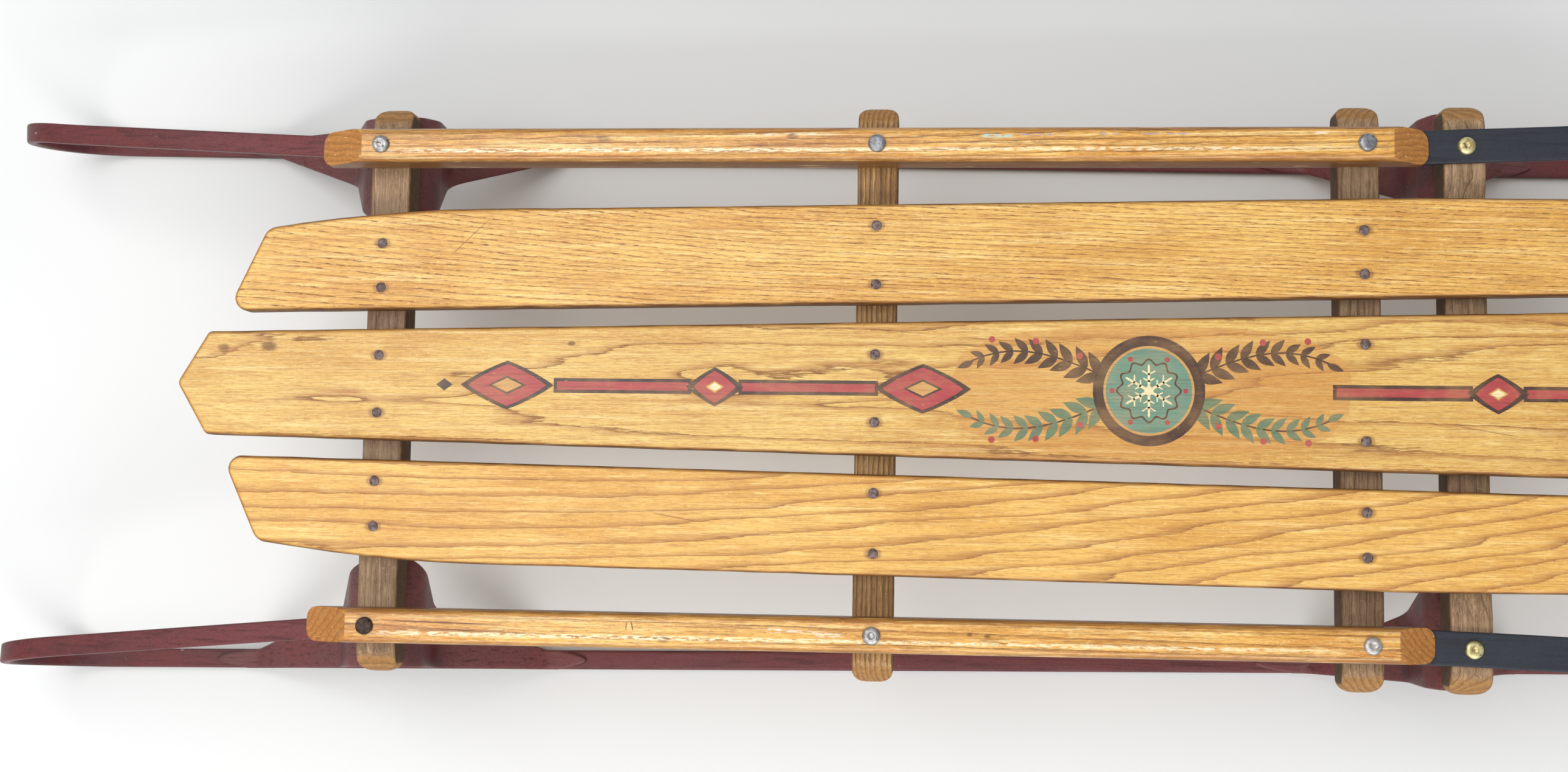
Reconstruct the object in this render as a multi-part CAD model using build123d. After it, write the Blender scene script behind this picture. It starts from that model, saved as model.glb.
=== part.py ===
from build123d import *
import math
import os

# A steerable wooden sled: a slatted deck nailed to cross benches, two side rails, flat steel
# runners on flared steel knees, and a front frame that a wooden bar swings to steer.
# +X is forward, +Y is the rider's left, +Z is up. The origin is on the floor, under the middle.
# All sizes are millimetres.

# Overall
overall_length = 1295.0
rail_offset = 143.0            # from the middle to the line of each rail and of its rivets

# Benches: four wooden crossbars with rounded ends
bench_top = 144.0              # height of the benches' upper face
bench_thickness = 22.0
bench_width = 24.0
bench_length = 343.0
bench_end_run = 16.0           # how far in from its end a bench starts to round down
bench_end_height = 9.0         # what is left of its height at the very end
bench_corner = 11.0            # rounding of its ends, seen from above
bench_x = {"rear": -374.5, "middle": -78.0, "third": 202.5, "front": 263.0}
bench_relief = 1.5             # the front bench is lower by this under the deck, where it slides
bench_relief_half = 120.0

# Deck slats
slat_thickness = 12.0
slat_edge = 1.5                # rounding of the upper edges
centre_rear_x = -498.5
centre_front_ahead = 28.0       # how far the centre slat runs past the steering bolt
centre_rear_half = 31.1
centre_wide_half = 48.8
centre_wide_x = 400.0
centre_front_half = 36.0
centre_point = 18.5            # length of the shallow point at each end
side_inner_rear = (-476.5, 43.2)
side_inner_front = (405.0, 58.4)
side_outer_rear = (-446.0, 94.4)
side_shoulder = (-270.0, 106.6)
side_shoulder_rise = 3.8       # how far the rear curve stands out from its chord
side_widest = (232.0, 113.3)
side_taper = (322.0, 112.8)      # where the outer edge turns in to the front corner
side_outer_front = (388.0, 96.0)
side_corner = 9.0

# Side rails
rail_width = 20.5
rail_height = 22.0
rail_rear_x = -415.0
rail_front_x = 241.0
rail_rear_bevel = 28.7         # length of the sloped ends
rail_front_bevel = 23.5
rail_lip = 5.0                 # height that is left under the slope
rail_edge = 4.5                # rounding of the upper edges
rail_corner = 7.0

# Runners: one flat steel band a side, bent into a loop behind and a nose in front
runner_width = 12.5
runner_thickness = 6.0
runner_ref_x = -560.0
runner_outset = 4.5            # how far outside the benches' ends a runner's middle lies there
runner_toe_in = 0.95           # degrees
loop_radius = 49.0
loop_bend_radius = 60.0
loop_bend_ahead = 1.0          # the upper member levels out this far inside the rail's end
rise_radius = 200.0
nose_radius = 35.0
nose_tail = 53.0               # flat stretch of the nose that the strap lies on
split_radius = 60.0            # the front part of a runner ends on a circle about its hinge
split_gap = 0.3

# Knees: bent steel sheets that stand on the runner, and widen up to the bench
knee_wall = 2.2
knee_outer_inset = 1.5         # the outer edge's top is this far inside the bench's end
knee_inner_top = 102.0
knee_toe = 2.5                 # thickness of its feet
knee_bend = 8.5                # radius of its bends
knee_crown = 11.5              # half the length of its flat top
knee_shoulder = 16.0           # height over which the top widens to the neck
# Each flank's reach from the bench's line: its neck, its hip and the hip's height, where its
# slope lands on the runner, and the end of its foot
knee_rear_back = (27.0, 47.5, 61.0, 122.0, 150.0)
knee_rear_ahead = (16.5, 15.0, 57.0, 77.0, 102.0)
knee_front_back = (17.5, 18.0, 68.0, 66.0, 98.0)
knee_front_ahead = (14.5, 15.0, 54.0, 60.0, 80.0)

# Front straps
strap_width = 20.0
strap_thickness = 3.0

# Steering
steer_behind = 95.0            # the steering bolt's distance behind the bumper's bolts
steer_swing = 18.0             # degrees each way
tongue_reach = 45.0
tongue_width = 24.0
steer_plate_thickness = 3.0
steer_disc_radius = 20.0
steer_disc_thickness = 1.5
steer_bolt_radius = 4.0
steer_head_radius = 9.0
steer_head_height = 3.5
steer_nut_radius = 7.0
steer_nut_height = 5.0
bar_length = 480.0
bar_middle_width = 36.0
bar_end_width = 26.0
bar_thickness = 19.0
bar_edge = 4.0
rope_hole_radius = 5.0
rope_hole_y = 205.0
pin_radius = 3.0
pin_cap_radius = 5.5
pin_cap_height = 2.0
pin_slot_side = 0.4            # play of the pin across the slot
pin_slot_end = 1.3             # play of the pin along the slot at full swing
tie_width = 22.0
tie_thickness = 3.0
bumper_behind = 9.5            # its bolts' distance behind the noses' centres
bumper_bow = 36.0
bumper_width = 20.0
bumper_thickness = 3.0

# Fasteners
rivet_radius = 3.15
rivet_head_radius = 5.2
rivet_head_height = 2.6
rivet_tail_radius = 5.0
rivet_tail_height = 2.5
nail_radius = 1.5
nail_head_radius = 3.0
nail_head_height = 0.8
nail_length = 26.0

# Clearances
running_fit = 0.05             # radial, at every pin and bolt
face_gap = 0.2                 # between flat faces that slide on each other
shoulder_gap = 1.0
nail_fit = 0.02
cut_past = 1.0                 # how far a cutter runs past the faces that it cuts
clear_past = 20.0              # the same for a cutter that is wider than the sled
dome_share = 0.8               # share of a rivet head's height that is rounded

# Distances of the nails from the middle at each nailed bench: centre slat, then the two lines
# of each side slat
nail_table = [
    # bench,    centre, inner, outer
    ("rear",    17.2, 58.0, 84.8),
    ("middle",  19.9, 61.2, 96.2),
    ("third",   27.9, 68.5, 94.0),
]

# Places worked out from the sizes above
rear_tip_x = -overall_length / 2
front_tip_x = overall_length / 2
bench_bottom = bench_top - bench_thickness
slat_bottom = bench_top
slat_top = slat_bottom + slat_thickness
rail_bottom = bench_top
rail_top = rail_bottom + rail_height
strap_bottom = bench_top + face_gap
strap_top = strap_bottom + strap_thickness
hinge_x = bench_x["third"]
tie_bottom = strap_top + face_gap
half_band = runner_thickness / 2
pin_hole_radius = rivet_radius + running_fit
runner_ref_y = bench_length / 2 + runner_outset
toe_slope = math.tan(math.radians(runner_toe_in))


def runner_y(x):
    """Distance of the runner's middle line from the sled's middle at x."""
    return runner_ref_y - toe_slope * (x - runner_ref_x)


nose_centre_x = front_tip_x - half_band - nose_radius
nose_line_z = strap_bottom - half_band
bumper_x = nose_centre_x - bumper_behind
steer_x = bumper_x - steer_behind
tie_x = steer_x + tongue_reach
centre_front_x = steer_x + centre_front_ahead
strap_slope = (runner_y(nose_centre_x) - rail_offset) / (nose_centre_x - hinge_x)
knee_outer_top = bench_length / 2 - knee_outer_inset
knee_flanks = {"rear": (knee_rear_back, knee_rear_ahead), "front": (knee_front_back, knee_front_ahead)}


def strap_y(x):
    """Distance of the strap's, and behind it the rail's, middle line from the sled's middle."""
    return rail_offset + strap_slope * max(0.0, x - hinge_x)


def write(name, solid):
    """Write one sub-part to its own file."""
    export_step(solid, f"parts/{name}.step")


def mirrored(solid):
    """The same piece on the other side of the sled."""
    return mirror(solid, about=Plane.XZ)


def write_pair(name, left_solid):
    """Write a piece of the left side and its mirror image."""
    write(f"{name}_left", left_solid)
    write(f"{name}_right", mirrored(left_solid))


def block(x_low, x_high, y_low, y_high, z_low, z_high):
    """A box between two corners."""
    size = (x_high - x_low, y_high - y_low, z_high - z_low)
    middle = ((x_low + x_high) / 2, (y_low + y_high) / 2, (z_low + z_high) / 2)
    return Pos(*middle) * Box(*size)


def rod(x, y, z_low, z_high, radius):
    """An upright cylinder."""
    return Pos(x, y, z_low) * Cylinder(radius, z_high - z_low,
                                       align=(Align.CENTER, Align.CENTER, Align.MIN))


def slab(outline, z_low, z_high):
    """A plan outline of edges, as a plate between two heights."""
    return Pos(0, 0, z_low) * extrude(make_face(outline), z_high - z_low)


def strip(start, end, width, z_low, z_high):
    """A straight band in plan, between two points on its middle line."""
    length = math.dist(start, end)
    angle = math.degrees(math.atan2(end[1] - start[1], end[0] - start[0]))
    middle = ((start[0] + end[0]) / 2, (start[1] + end[1]) / 2, (z_low + z_high) / 2)
    return Pos(*middle) * Rot(0, 0, angle) * Box(length, width, z_high - z_low)


def link(start, end, width, z_low, z_high):
    """A straight band with round ends about its two points."""
    ends = [rod(x, y, z_low, z_high, width / 2) for x, y in (start, end)]
    return strip(start, end, width, z_low, z_high) + ends[0] + ends[1]


def domed_head(x, y, z, radius, height):
    """A low round head that stands on height z."""
    head = rod(x, y, z, z + height, radius)
    return fillet(head.faces().sort_by(Axis.Z)[-1].edges(), height * dome_share)


def upright_corners(solid, radius, x_low=-overall_length, x_high=overall_length):
    """Round the upright edges that lie between two places along X."""
    edges = solid.edges().filter_by(Axis.Z).filter_by_position(Axis.X, x_low, x_high)
    return fillet(edges, radius)


def through_cut(x, y, z_low, z_high, radius):
    """Cutter for an upright hole that runs past both faces."""
    return rod(x, y, z_low - cut_past, z_high + cut_past, radius)


def through_rivet(x, top, bottom):
    """A headed rivet on the left rail or strap, from its head's seat down past its tail's."""
    y = strap_y(x)
    shank = rod(x, y, bottom - rivet_tail_height, top, rivet_radius)
    head = domed_head(x, y, top, rivet_head_radius, rivet_head_height)
    tail = rod(x, y, bottom - rivet_tail_height, bottom, rivet_tail_radius)
    return shank + head + tail


def nail_places(bench):
    """Plan positions of the nails at one bench."""
    for name, *offsets in nail_table:
        if name == bench:
            return [(bench_x[bench], side * y) for y in offsets for side in (1, -1)]
    return []


def nail_holes(places):
    """Cutters for the nails, whose heads lie flush in the slats."""
    low = slat_top - nail_length
    cutters = []
    for x, y in places:
        shank = through_cut(x, y, low, slat_top, nail_radius + nail_fit)
        cutters.append(shank + rod(x, y, slat_top - nail_head_height, slat_top + cut_past,
                                   nail_head_radius + nail_fit))
    return cutters


all_nails = [place for row in nail_table for place in nail_places(row[0])]


# Deck

def centre_slat():
    half = [
        (centre_rear_x, 0.0),
        (centre_rear_x + centre_point, centre_rear_half),
        (centre_wide_x, centre_wide_half),
        (centre_front_x - centre_point, centre_front_half),
        (centre_front_x, 0.0),
    ]
    other = [(x, -y) for x, y in reversed(half[1:-1])]
    slat = slab(Polyline(*half, *other, close=True), slat_bottom, slat_top)
    slat = fillet(slat.faces().sort_by(Axis.Z)[-1].edges(), slat_edge)
    slat -= through_cut(steer_x, 0, slat_bottom, slat_top, steer_bolt_radius + running_fit)
    return slat - nail_holes(all_nails)


def side_slat():
    chord_x = side_shoulder[0] - side_outer_rear[0]
    chord_y = side_shoulder[1] - side_outer_rear[1]
    chord = math.hypot(chord_x, chord_y)
    middle = ((side_outer_rear[0] + side_shoulder[0]) / 2 - side_shoulder_rise * chord_y / chord,
              (side_outer_rear[1] + side_shoulder[1]) / 2 + side_shoulder_rise * chord_x / chord)
    outline = [
        ThreePointArc(side_outer_rear, middle, side_shoulder),
        Line(side_shoulder, side_widest),
        Line(side_widest, side_taper),
        Line(side_taper, side_outer_front),
        Line(side_outer_front, side_inner_front),
        Line(side_inner_front, side_inner_rear),
        Line(side_inner_rear, side_outer_rear),
    ]
    slat = slab(outline, slat_bottom, slat_top)
    slat = upright_corners(slat, side_corner, side_inner_rear[0] - cut_past,
                           side_outer_rear[0] + cut_past)
    slat = fillet(slat.faces().sort_by(Axis.Z)[-1].edges(), slat_edge)
    return slat - nail_holes(all_nails)


# Benches

def bench(name):
    """One crossbar, flat under the deck and rails and rounded down at its ends."""
    x = bench_x[name]
    half = bench_length / 2
    flat = half - bench_end_run
    end_top = bench_bottom + bench_end_height
    drop = bench_top - end_top
    radius = (bench_end_run ** 2 + drop ** 2) / (2 * drop)
    half_turn = math.asin(bench_end_run / radius) / 2
    bulge = (flat + radius * math.sin(half_turn), bench_top - radius * (1 - math.cos(half_turn)))
    outline = [
        Line((-flat, bench_top), (flat, bench_top)),
        ThreePointArc((flat, bench_top), bulge, (half, end_top)),
        Line((half, end_top), (half, bench_bottom)),
        Line((half, bench_bottom), (-half, bench_bottom)),
        Line((-half, bench_bottom), (-half, end_top)),
        ThreePointArc((-half, end_top), (-bulge[0], bulge[1]), (-flat, bench_top)),
    ]
    section = Plane.YZ * make_face(outline)
    bar = Pos(x - bench_width / 2, 0, 0) * extrude(section, bench_width)
    ends = [
        edge for edge in bar.edges().filter_by(Axis.Z)
        if abs(edge.center().Y) > half - cut_past
    ]
    bar = fillet(ends, bench_corner)
    for side in (1, -1):
        bar -= through_cut(x, side * strap_y(x), bench_bottom, bench_top, pin_hole_radius)
    for cutter in nail_holes(nail_places(name)):
        bar -= cutter
    return bar


def rear_bench():
    """The rear bench is notched for the ends of the runners' loops."""
    bar = bench("rear")
    for notch in (loop_notch(), mirrored(loop_notch())):
        bar -= notch
    return bar


def front_bench():
    """The front bench is a little lower under the deck, so that it slides freely."""
    relief = block(bench_x["front"] - bench_width, bench_x["front"] + bench_width,
                   -bench_relief_half, bench_relief_half,
                   bench_top - bench_relief, bench_top + cut_past)
    return bench("front") - relief


# Rails

def rail():
    """A square rail with sloped ends; its front end is rebated over the strap."""
    outline = Polyline(
        (rail_rear_x, rail_bottom), (rail_rear_x, rail_bottom + rail_lip),
        (rail_rear_x + rail_rear_bevel, rail_top), (rail_front_x - rail_front_bevel, rail_top),
        (rail_front_x, rail_bottom + rail_lip), (rail_front_x, rail_bottom), close=True)
    side_view = Plane.XZ * make_face(outline)
    bar = Pos(0, rail_offset, 0) * extrude(side_view, rail_width / 2, both=True)
    top_edges = bar.faces().sort_by(Axis.Z)[-1].edges().filter_by(Axis.X)
    bar = fillet(top_edges, rail_edge)
    bar &= upright_corners(block(rail_rear_x, rail_front_x, rail_offset - rail_width / 2,
                                 rail_offset + rail_width / 2, rail_bottom, rail_top), rail_corner)
    rebate_x = hinge_x - strap_width / 2 - shoulder_gap
    bar -= block(rebate_x, rail_front_x + cut_past, rail_offset - rail_width,
                 rail_offset + rail_width, rail_bottom - cut_past, strap_top + face_gap)
    for name in ("rear", "middle", "third"):
        bar -= through_cut(bench_x[name], rail_offset, rail_bottom, rail_top, pin_hole_radius)
    return bar


# Runners

def loop_line():
    """Middle line of the rear loop, from the floor round the tip and up to the rear bench."""
    tip_x = rear_tip_x + half_band
    centre = (tip_x + loop_radius, half_band + loop_radius)
    level_z = bench_top - half_band
    bend = (rail_rear_x + loop_bend_ahead, level_z)
    away = (bend[0] - centre[0], bend[1] - centre[1])
    turn = math.atan2(away[1], away[0]) + math.acos(loop_radius / math.hypot(*away))
    leave = (centre[0] + loop_radius * math.cos(turn), centre[1] + loop_radius * math.sin(turn))
    floor_point = (centre[0], half_band)
    end = (bench_x["rear"] + bench_width / 2, level_z)
    upper = FilletPolyline(leave, bend, end, radius=loop_bend_radius)
    return [ThreePointArc(floor_point, (tip_x, centre[1]), leave), *upper.edges()], floor_point


def nose_line():
    """Middle line of the nose, from the floor up, round and back under the strap."""
    centre = (nose_centre_x, nose_line_z - nose_radius)
    rise_z = half_band + rise_radius
    reach = rise_radius - nose_radius
    rise_x = centre[0] - math.sqrt(reach ** 2 - (rise_z - centre[1]) ** 2)
    away = ((centre[0] - rise_x) / reach, (centre[1] - rise_z) / reach)
    meet = (rise_x + rise_radius * away[0], rise_z + rise_radius * away[1])
    half_turn = math.atan2(away[1], away[0]) / 2
    rise_turn = (math.atan2(away[1], away[0]) - math.pi / 2) / 2
    rise_middle = (rise_x + rise_radius * math.cos(rise_turn),
                   rise_z + rise_radius * math.sin(rise_turn))
    floor_point = (rise_x, half_band)
    top = (centre[0], nose_line_z)
    tip = (centre[0] + nose_radius * math.cos(half_turn + math.pi / 4),
           centre[1] + nose_radius * math.sin(half_turn + math.pi / 4))
    lines = [
        ThreePointArc(floor_point, rise_middle, meet),
        ThreePointArc(meet, tip, top),
        Line(top, (top[0] - nose_tail, nose_line_z)),
    ]
    return lines, floor_point


def wide_band():
    """The runner's bent band, far wider than it is, to be trimmed in plan."""
    loop, loop_floor = loop_line()
    nose, nose_floor = nose_line()
    path = Plane.XZ * Wire([*loop, Line(loop_floor, nose_floor), *nose])
    start = Plane(origin=path @ 0, z_dir=path % 0, x_dir=(0, 1, 0))
    return sweep(start * Rectangle(rail_offset, runner_thickness), path=path)


def loop_strip(extra_width=0.0):
    """Plan band of the loop's upper member, from the tip inwards to the rail's line."""
    tip_y = runner_y(rear_tip_x)
    slope = (rail_offset - tip_y) / (bench_x["rear"] - rear_tip_x)
    ends = [(x, tip_y + slope * (x - rear_tip_x))
            for x in (rear_tip_x - clear_past, bench_x["rear"] + bench_width)]
    return strip(*ends, runner_width + extra_width, half_band + loop_radius, bench_top + cut_past)


def loop_notch():
    """Cutter for the rear bench where the loop's end lies in it."""
    low = bench_top - runner_thickness
    across = block(bench_x["rear"] - bench_width, bench_x["rear"] + bench_width,
                   0, bench_length, low, bench_top + cut_past)
    return loop_strip(2 * face_gap) & across


def whole_runner():
    """One runner in one piece, with its rivet holes."""
    wide = Pos(0, runner_ref_y, 0) * wide_band()
    ends = [(x, runner_y(x)) for x in (rear_tip_x - clear_past, front_tip_x + clear_past)]
    straight = strip(*ends, runner_width, -clear_past, bench_top + clear_past)
    upper_rear = block(rear_tip_x - clear_past, 0, 0, bench_length,
                       half_band + loop_radius, bench_top + clear_past)
    band = (wide & (straight - upper_rear)) + (wide & loop_strip())
    for x, y in ((bench_x["rear"], rail_offset), (bumper_x, strap_y(bumper_x))):
        band -= through_cut(x, y, bench_bottom, bench_top, pin_hole_radius)
    return band


def runner_pair():
    """The rear and the front part, split on a circle about the front frame's hinge."""
    band = whole_runner()
    low = -clear_past
    high = bench_top + clear_past
    ahead = block(hinge_x, front_tip_x + clear_past, 0, bench_length, low, high)
    keep = rod(hinge_x, rail_offset, low, high, split_radius) + ahead
    away = rod(hinge_x, rail_offset, low, high, split_radius + split_gap) + ahead
    return band - away, band & keep


# Knees

def knee_line(x, flanks, top):
    """The sheet's upper face seen from the side, from its rear foot over the top to the front."""
    toe = runner_thickness + knee_toe
    corners = []
    for way, (neck, hip, hip_z, landing, foot_end) in zip((-1, 1), flanks):
        half = [(foot_end, toe), (landing, toe), (hip, hip_z), (neck, top - knee_shoulder),
                (knee_crown, top)]
        points = [(x + way * reach, z) for reach, z in half]
        corners += points if way < 0 else reversed(points)
    return FilletPolyline(*corners, radius=knee_bend)


def knee(name, top):
    """A sheet bent over under a bench, with sloping flanks that end in feet on the runner."""
    x = bench_x[name]
    y = runner_y(x)
    foot = runner_thickness
    flanks = knee_flanks[name]
    section = Polyline(
        (y - runner_width / 2, foot), (y + runner_width / 2, foot),
        (y + runner_width / 2, foot + knee_wall), (knee_outer_top, top), (knee_inner_top, top),
        (y - runner_width / 2, foot + knee_wall), close=True)
    reach = max(flank[-1] for flank in flanks)
    flare = Pos(x, 0, 0) * extrude(Plane.YZ * make_face(section), reach, both=True)
    sheet = make_face(offset(knee_line(x, flanks, top), amount=knee_wall, side=Side.RIGHT))
    band = extrude(Plane.XZ * sheet, bench_length, both=True)
    for way, flank in zip((-1, 1), flanks):
        landing, foot_end = (x + way * flank[k] for k in (-2, -1))
        band += block(min(landing, foot_end), max(landing, foot_end), 0, bench_length, foot,
                      foot + knee_toe)
    standard = Pos(x, y, 0) * Rot(0, 0, -runner_toe_in) * Pos(-x, -y, 0) * (flare & band)
    return standard - through_cut(x, strap_y(x), top - knee_wall, top, pin_hole_radius)


# Front straps

def strap():
    """A flat strap from the rail's front rivet straight to the nose, flaring with the runner."""
    ends = [(x, strap_y(x)) for x in (hinge_x, nose_centre_x)]
    bar = link(*ends, strap_width, strap_bottom, strap_top)
    for x in (hinge_x, bench_x["front"], tie_x, bumper_x):
        bar -= through_cut(x, strap_y(x), strap_bottom, strap_top, pin_hole_radius)
    return bar


def frame_bolts():
    """The bolts of one strap: front bench, cross tie and bumper."""
    knee_low = bench_bottom - face_gap - knee_wall
    bench_bolt = through_rivet(bench_x["front"], strap_top, knee_low)
    bolts = [bench_bolt]
    seats = [
        # x,        head's seat,                               tail's seat
        (tie_x,     tie_bottom + tie_thickness + face_gap,     strap_bottom),
        (bumper_x,  tie_bottom + bumper_thickness + face_gap,  strap_bottom - runner_thickness),
    ]
    for x, head_z, tail_z in seats:
        y = strap_y(x)
        bolt = rod(x, y, tail_z - rivet_tail_height, head_z, rivet_radius)
        bolt += domed_head(x, y, head_z, rivet_head_radius, rivet_head_height)
        bolt += rod(x, y, tail_z - rivet_tail_height, tail_z, rivet_tail_radius)
        bolts.append(bolt)
    return Compound(children=bolts)


# Steering

def cross_tie():
    """The bar between the straps that the tongue's pin pushes sideways."""
    y = strap_y(tie_x)
    top = tie_bottom + tie_thickness
    bar = link((tie_x, -y), (tie_x, y), tie_width, tie_bottom, top)
    slot_width = 2 * (pin_radius + pin_slot_side)
    swing_back = tongue_reach * (1 - math.cos(math.radians(steer_swing)))
    reach = pin_radius + swing_back + pin_slot_end - slot_width / 2
    bar -= link((tie_x - reach, 0), (tie_x + reach, 0), slot_width,
                tie_bottom - cut_past, top + cut_past)
    for side in (1, -1):
        bar -= through_cut(tie_x, side * y, tie_bottom, top, pin_hole_radius)
    return bar


def bumper():
    """A flat bar between the noses, bowed forwards."""
    y = strap_y(bumper_x)
    radius = (y ** 2 + bumper_bow ** 2) / (2 * bumper_bow)
    centre_x = bumper_x + bumper_bow - radius
    top = tie_bottom + bumper_thickness
    ring = rod(centre_x, 0, tie_bottom, top, radius + bumper_width / 2)
    ring -= through_cut(centre_x, 0, tie_bottom, top, radius - bumper_width / 2)
    half_angle = math.atan2(y, radius - bumper_bow)
    far = 2 * radius
    wedge = Polyline(
        (centre_x, 0), (centre_x + far * math.cos(half_angle), -far * math.sin(half_angle)),
        (centre_x + far * math.cos(half_angle), far * math.sin(half_angle)), close=True)
    bar = ring & slab(wedge, tie_bottom - cut_past, top + cut_past)
    for side in (1, -1):
        bar += rod(bumper_x, side * y, tie_bottom, top, bumper_width / 2)
    for side in (1, -1):
        bar -= through_cut(bumper_x, side * y, tie_bottom, top, pin_hole_radius)
    return bar


disc_bottom = slat_top + face_gap
bar_bottom = disc_bottom + steer_disc_thickness
bar_top = bar_bottom + bar_thickness
plate_top = slat_bottom - face_gap
plate_bottom = plate_top - steer_plate_thickness


def steering_bar():
    """The wooden steering bar, bowed at its front edge, with a rope hole near each end."""
    half = bar_length / 2
    end_half = bar_end_width / 2
    middle_half = bar_middle_width / 2
    back_x = steer_x - middle_half
    outline = [
        ThreePointArc((back_x, half - end_half), (back_x + end_half, half),
                      (back_x + bar_end_width, half - end_half)),
        ThreePointArc((back_x + bar_end_width, half - end_half), (steer_x + middle_half, 0),
                      (back_x + bar_end_width, -half + end_half)),
        ThreePointArc((back_x + bar_end_width, -half + end_half), (back_x + end_half, -half),
                      (back_x, -half + end_half)),
        Line((back_x, -half + end_half), (back_x, half - end_half)),
    ]
    bar = slab(outline, bar_bottom, bar_top)
    bar = fillet(bar.faces().sort_by(Axis.Z)[-1].edges(), bar_edge)
    bar -= through_cut(steer_x, 0, bar_bottom, bar_top, steer_bolt_radius + running_fit)
    for side in (1, -1):
        bar -= through_cut(back_x + end_half, side * rope_hole_y, bar_bottom, bar_top,
                           rope_hole_radius)
    return bar


def steering_plate():
    """The tongue under the deck and the pin that stands in the cross tie's slot."""
    plate = link((steer_x, 0), (tie_x, 0), tongue_width, plate_bottom, plate_top)
    plate -= through_cut(steer_x, 0, plate_bottom, plate_top, steer_bolt_radius + running_fit)
    cap_z = tie_bottom + tie_thickness + 2 * face_gap
    plate += rod(tie_x, 0, plate_top, cap_z + pin_cap_height, pin_radius)
    return plate + rod(tie_x, 0, cap_z, cap_z + pin_cap_height, pin_cap_radius)


def steering_disc():
    """The steel disc that the bar turns on."""
    disc = rod(steer_x, 0, disc_bottom, bar_bottom, steer_disc_radius)
    return disc - through_cut(steer_x, 0, disc_bottom, bar_bottom,
                              steer_bolt_radius + running_fit)


def steering_bolt():
    """The bolt through bar, deck and tongue."""
    bolt = rod(steer_x, 0, plate_bottom - steer_nut_height, bar_top, steer_bolt_radius)
    bolt += domed_head(steer_x, 0, bar_top, steer_head_radius, steer_head_height)
    nut = extrude(RegularPolygon(steer_nut_radius, 6), steer_nut_height)
    return bolt + Pos(steer_x, 0, plate_bottom - steer_nut_height) * nut


# Fasteners of the fixed frame

def rail_rivets():
    """Six rivets through the rails and what lies under them."""
    tails = {"rear": bench_bottom - knee_wall, "middle": bench_bottom, "third": bench_bottom}
    left = [through_rivet(bench_x[name], rail_top, tail) for name, tail in tails.items()]
    return Compound(children=left + [mirrored(rivet) for rivet in left])


def deck_nails():
    """Two nails through each slat at each fixed bench."""
    nails = []
    for x, y in all_nails:
        nail = rod(x, y, slat_top - nail_length, slat_top, nail_radius)
        nails.append(nail + rod(x, y, slat_top - nail_head_height, slat_top, nail_head_radius))
    return Compound(children=nails)


os.makedirs("parts", exist_ok=True)

write("slat_centre", centre_slat())
write_pair("slat", side_slat())
write("bench_rear", rear_bench())
write("bench_middle", bench("middle"))
write("bench_third", bench("third"))
write("bench_front", front_bench())
write_pair("rail", rail())
runner_rear, runner_front = runner_pair()
write_pair("runner_rear", runner_rear)
write_pair("runner_front", runner_front)
write_pair("knee_rear", knee("rear", bench_bottom))
write_pair("knee_front", knee("front", bench_bottom - face_gap))
write_pair("strap", strap())
write_pair("frame_bolts", frame_bolts())
write("cross_tie", cross_tie())
write("bumper", bumper())
write("steering_bar", steering_bar())
write("steering_plate", steering_plate())
write("steering_disc", steering_disc())
write("steering_bolt", steering_bolt())
write("rail_rivets", rail_rivets())
write("deck_nails", deck_nails())
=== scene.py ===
import bpy
import math
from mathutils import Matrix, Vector, noise


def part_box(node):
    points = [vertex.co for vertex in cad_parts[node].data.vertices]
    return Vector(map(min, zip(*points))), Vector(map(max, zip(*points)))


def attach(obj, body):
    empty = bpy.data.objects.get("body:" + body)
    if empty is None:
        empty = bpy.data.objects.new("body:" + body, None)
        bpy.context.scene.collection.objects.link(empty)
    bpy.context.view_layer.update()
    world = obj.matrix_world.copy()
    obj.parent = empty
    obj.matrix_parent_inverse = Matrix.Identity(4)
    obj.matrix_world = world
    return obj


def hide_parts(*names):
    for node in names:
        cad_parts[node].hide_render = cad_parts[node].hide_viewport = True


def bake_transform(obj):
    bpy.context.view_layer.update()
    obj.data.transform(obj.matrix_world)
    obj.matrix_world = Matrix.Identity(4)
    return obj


# The looks of a steerable wooden sled: varnished ash and oak boards, dark red steel runners and
# knees, black straps, worn rivets and nails, and a plain painted ornament on the middle board.
# +X is forward, +Y is the rider's left, +Z is up. Shapes are worked out in millimetres and
# written to the meshes in metres.

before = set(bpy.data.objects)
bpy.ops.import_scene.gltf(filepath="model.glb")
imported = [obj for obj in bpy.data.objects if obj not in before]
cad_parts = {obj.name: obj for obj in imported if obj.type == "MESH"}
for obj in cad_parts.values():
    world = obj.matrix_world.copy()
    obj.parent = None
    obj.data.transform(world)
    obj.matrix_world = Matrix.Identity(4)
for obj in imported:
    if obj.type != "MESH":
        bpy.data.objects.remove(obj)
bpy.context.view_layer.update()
MM = 0.001
SIDES = (("left", 1), ("right", -1))


def span(node):
    """Lowest and highest corner of a CAD node, in millimetres."""
    low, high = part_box(node)
    return low / MM, high / MM


# Places taken from the frame, in millimetres

bench_names = ("rear", "middle", "third", "front")
bench_span = {name: span(f"bench_{name}") for name in bench_names}
bench_x = {name: (low.x + high.x) / 2 for name, (low, high) in bench_span.items()}
bench_low = bench_span["middle"][0].z
bench_top = bench_span["middle"][1].z
bench_half = bench_span["middle"][1].y
slat_low, slat_high = span("slat_centre")
side_low, side_high = span("slat_left")
deck_top = slat_high.z
rail_low, rail_high = span("rail_left")
rail_y = (rail_low.y + rail_high.y) / 2
rear_low, rear_high = span("runner_rear_left")
nose_high = span("runner_front_left")[1]
strap_low, strap_high = span("strap_left")
tie_low, tie_high = span("cross_tie")
tie_x = (tie_low.x + tie_high.x) / 2


# Node trees

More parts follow.
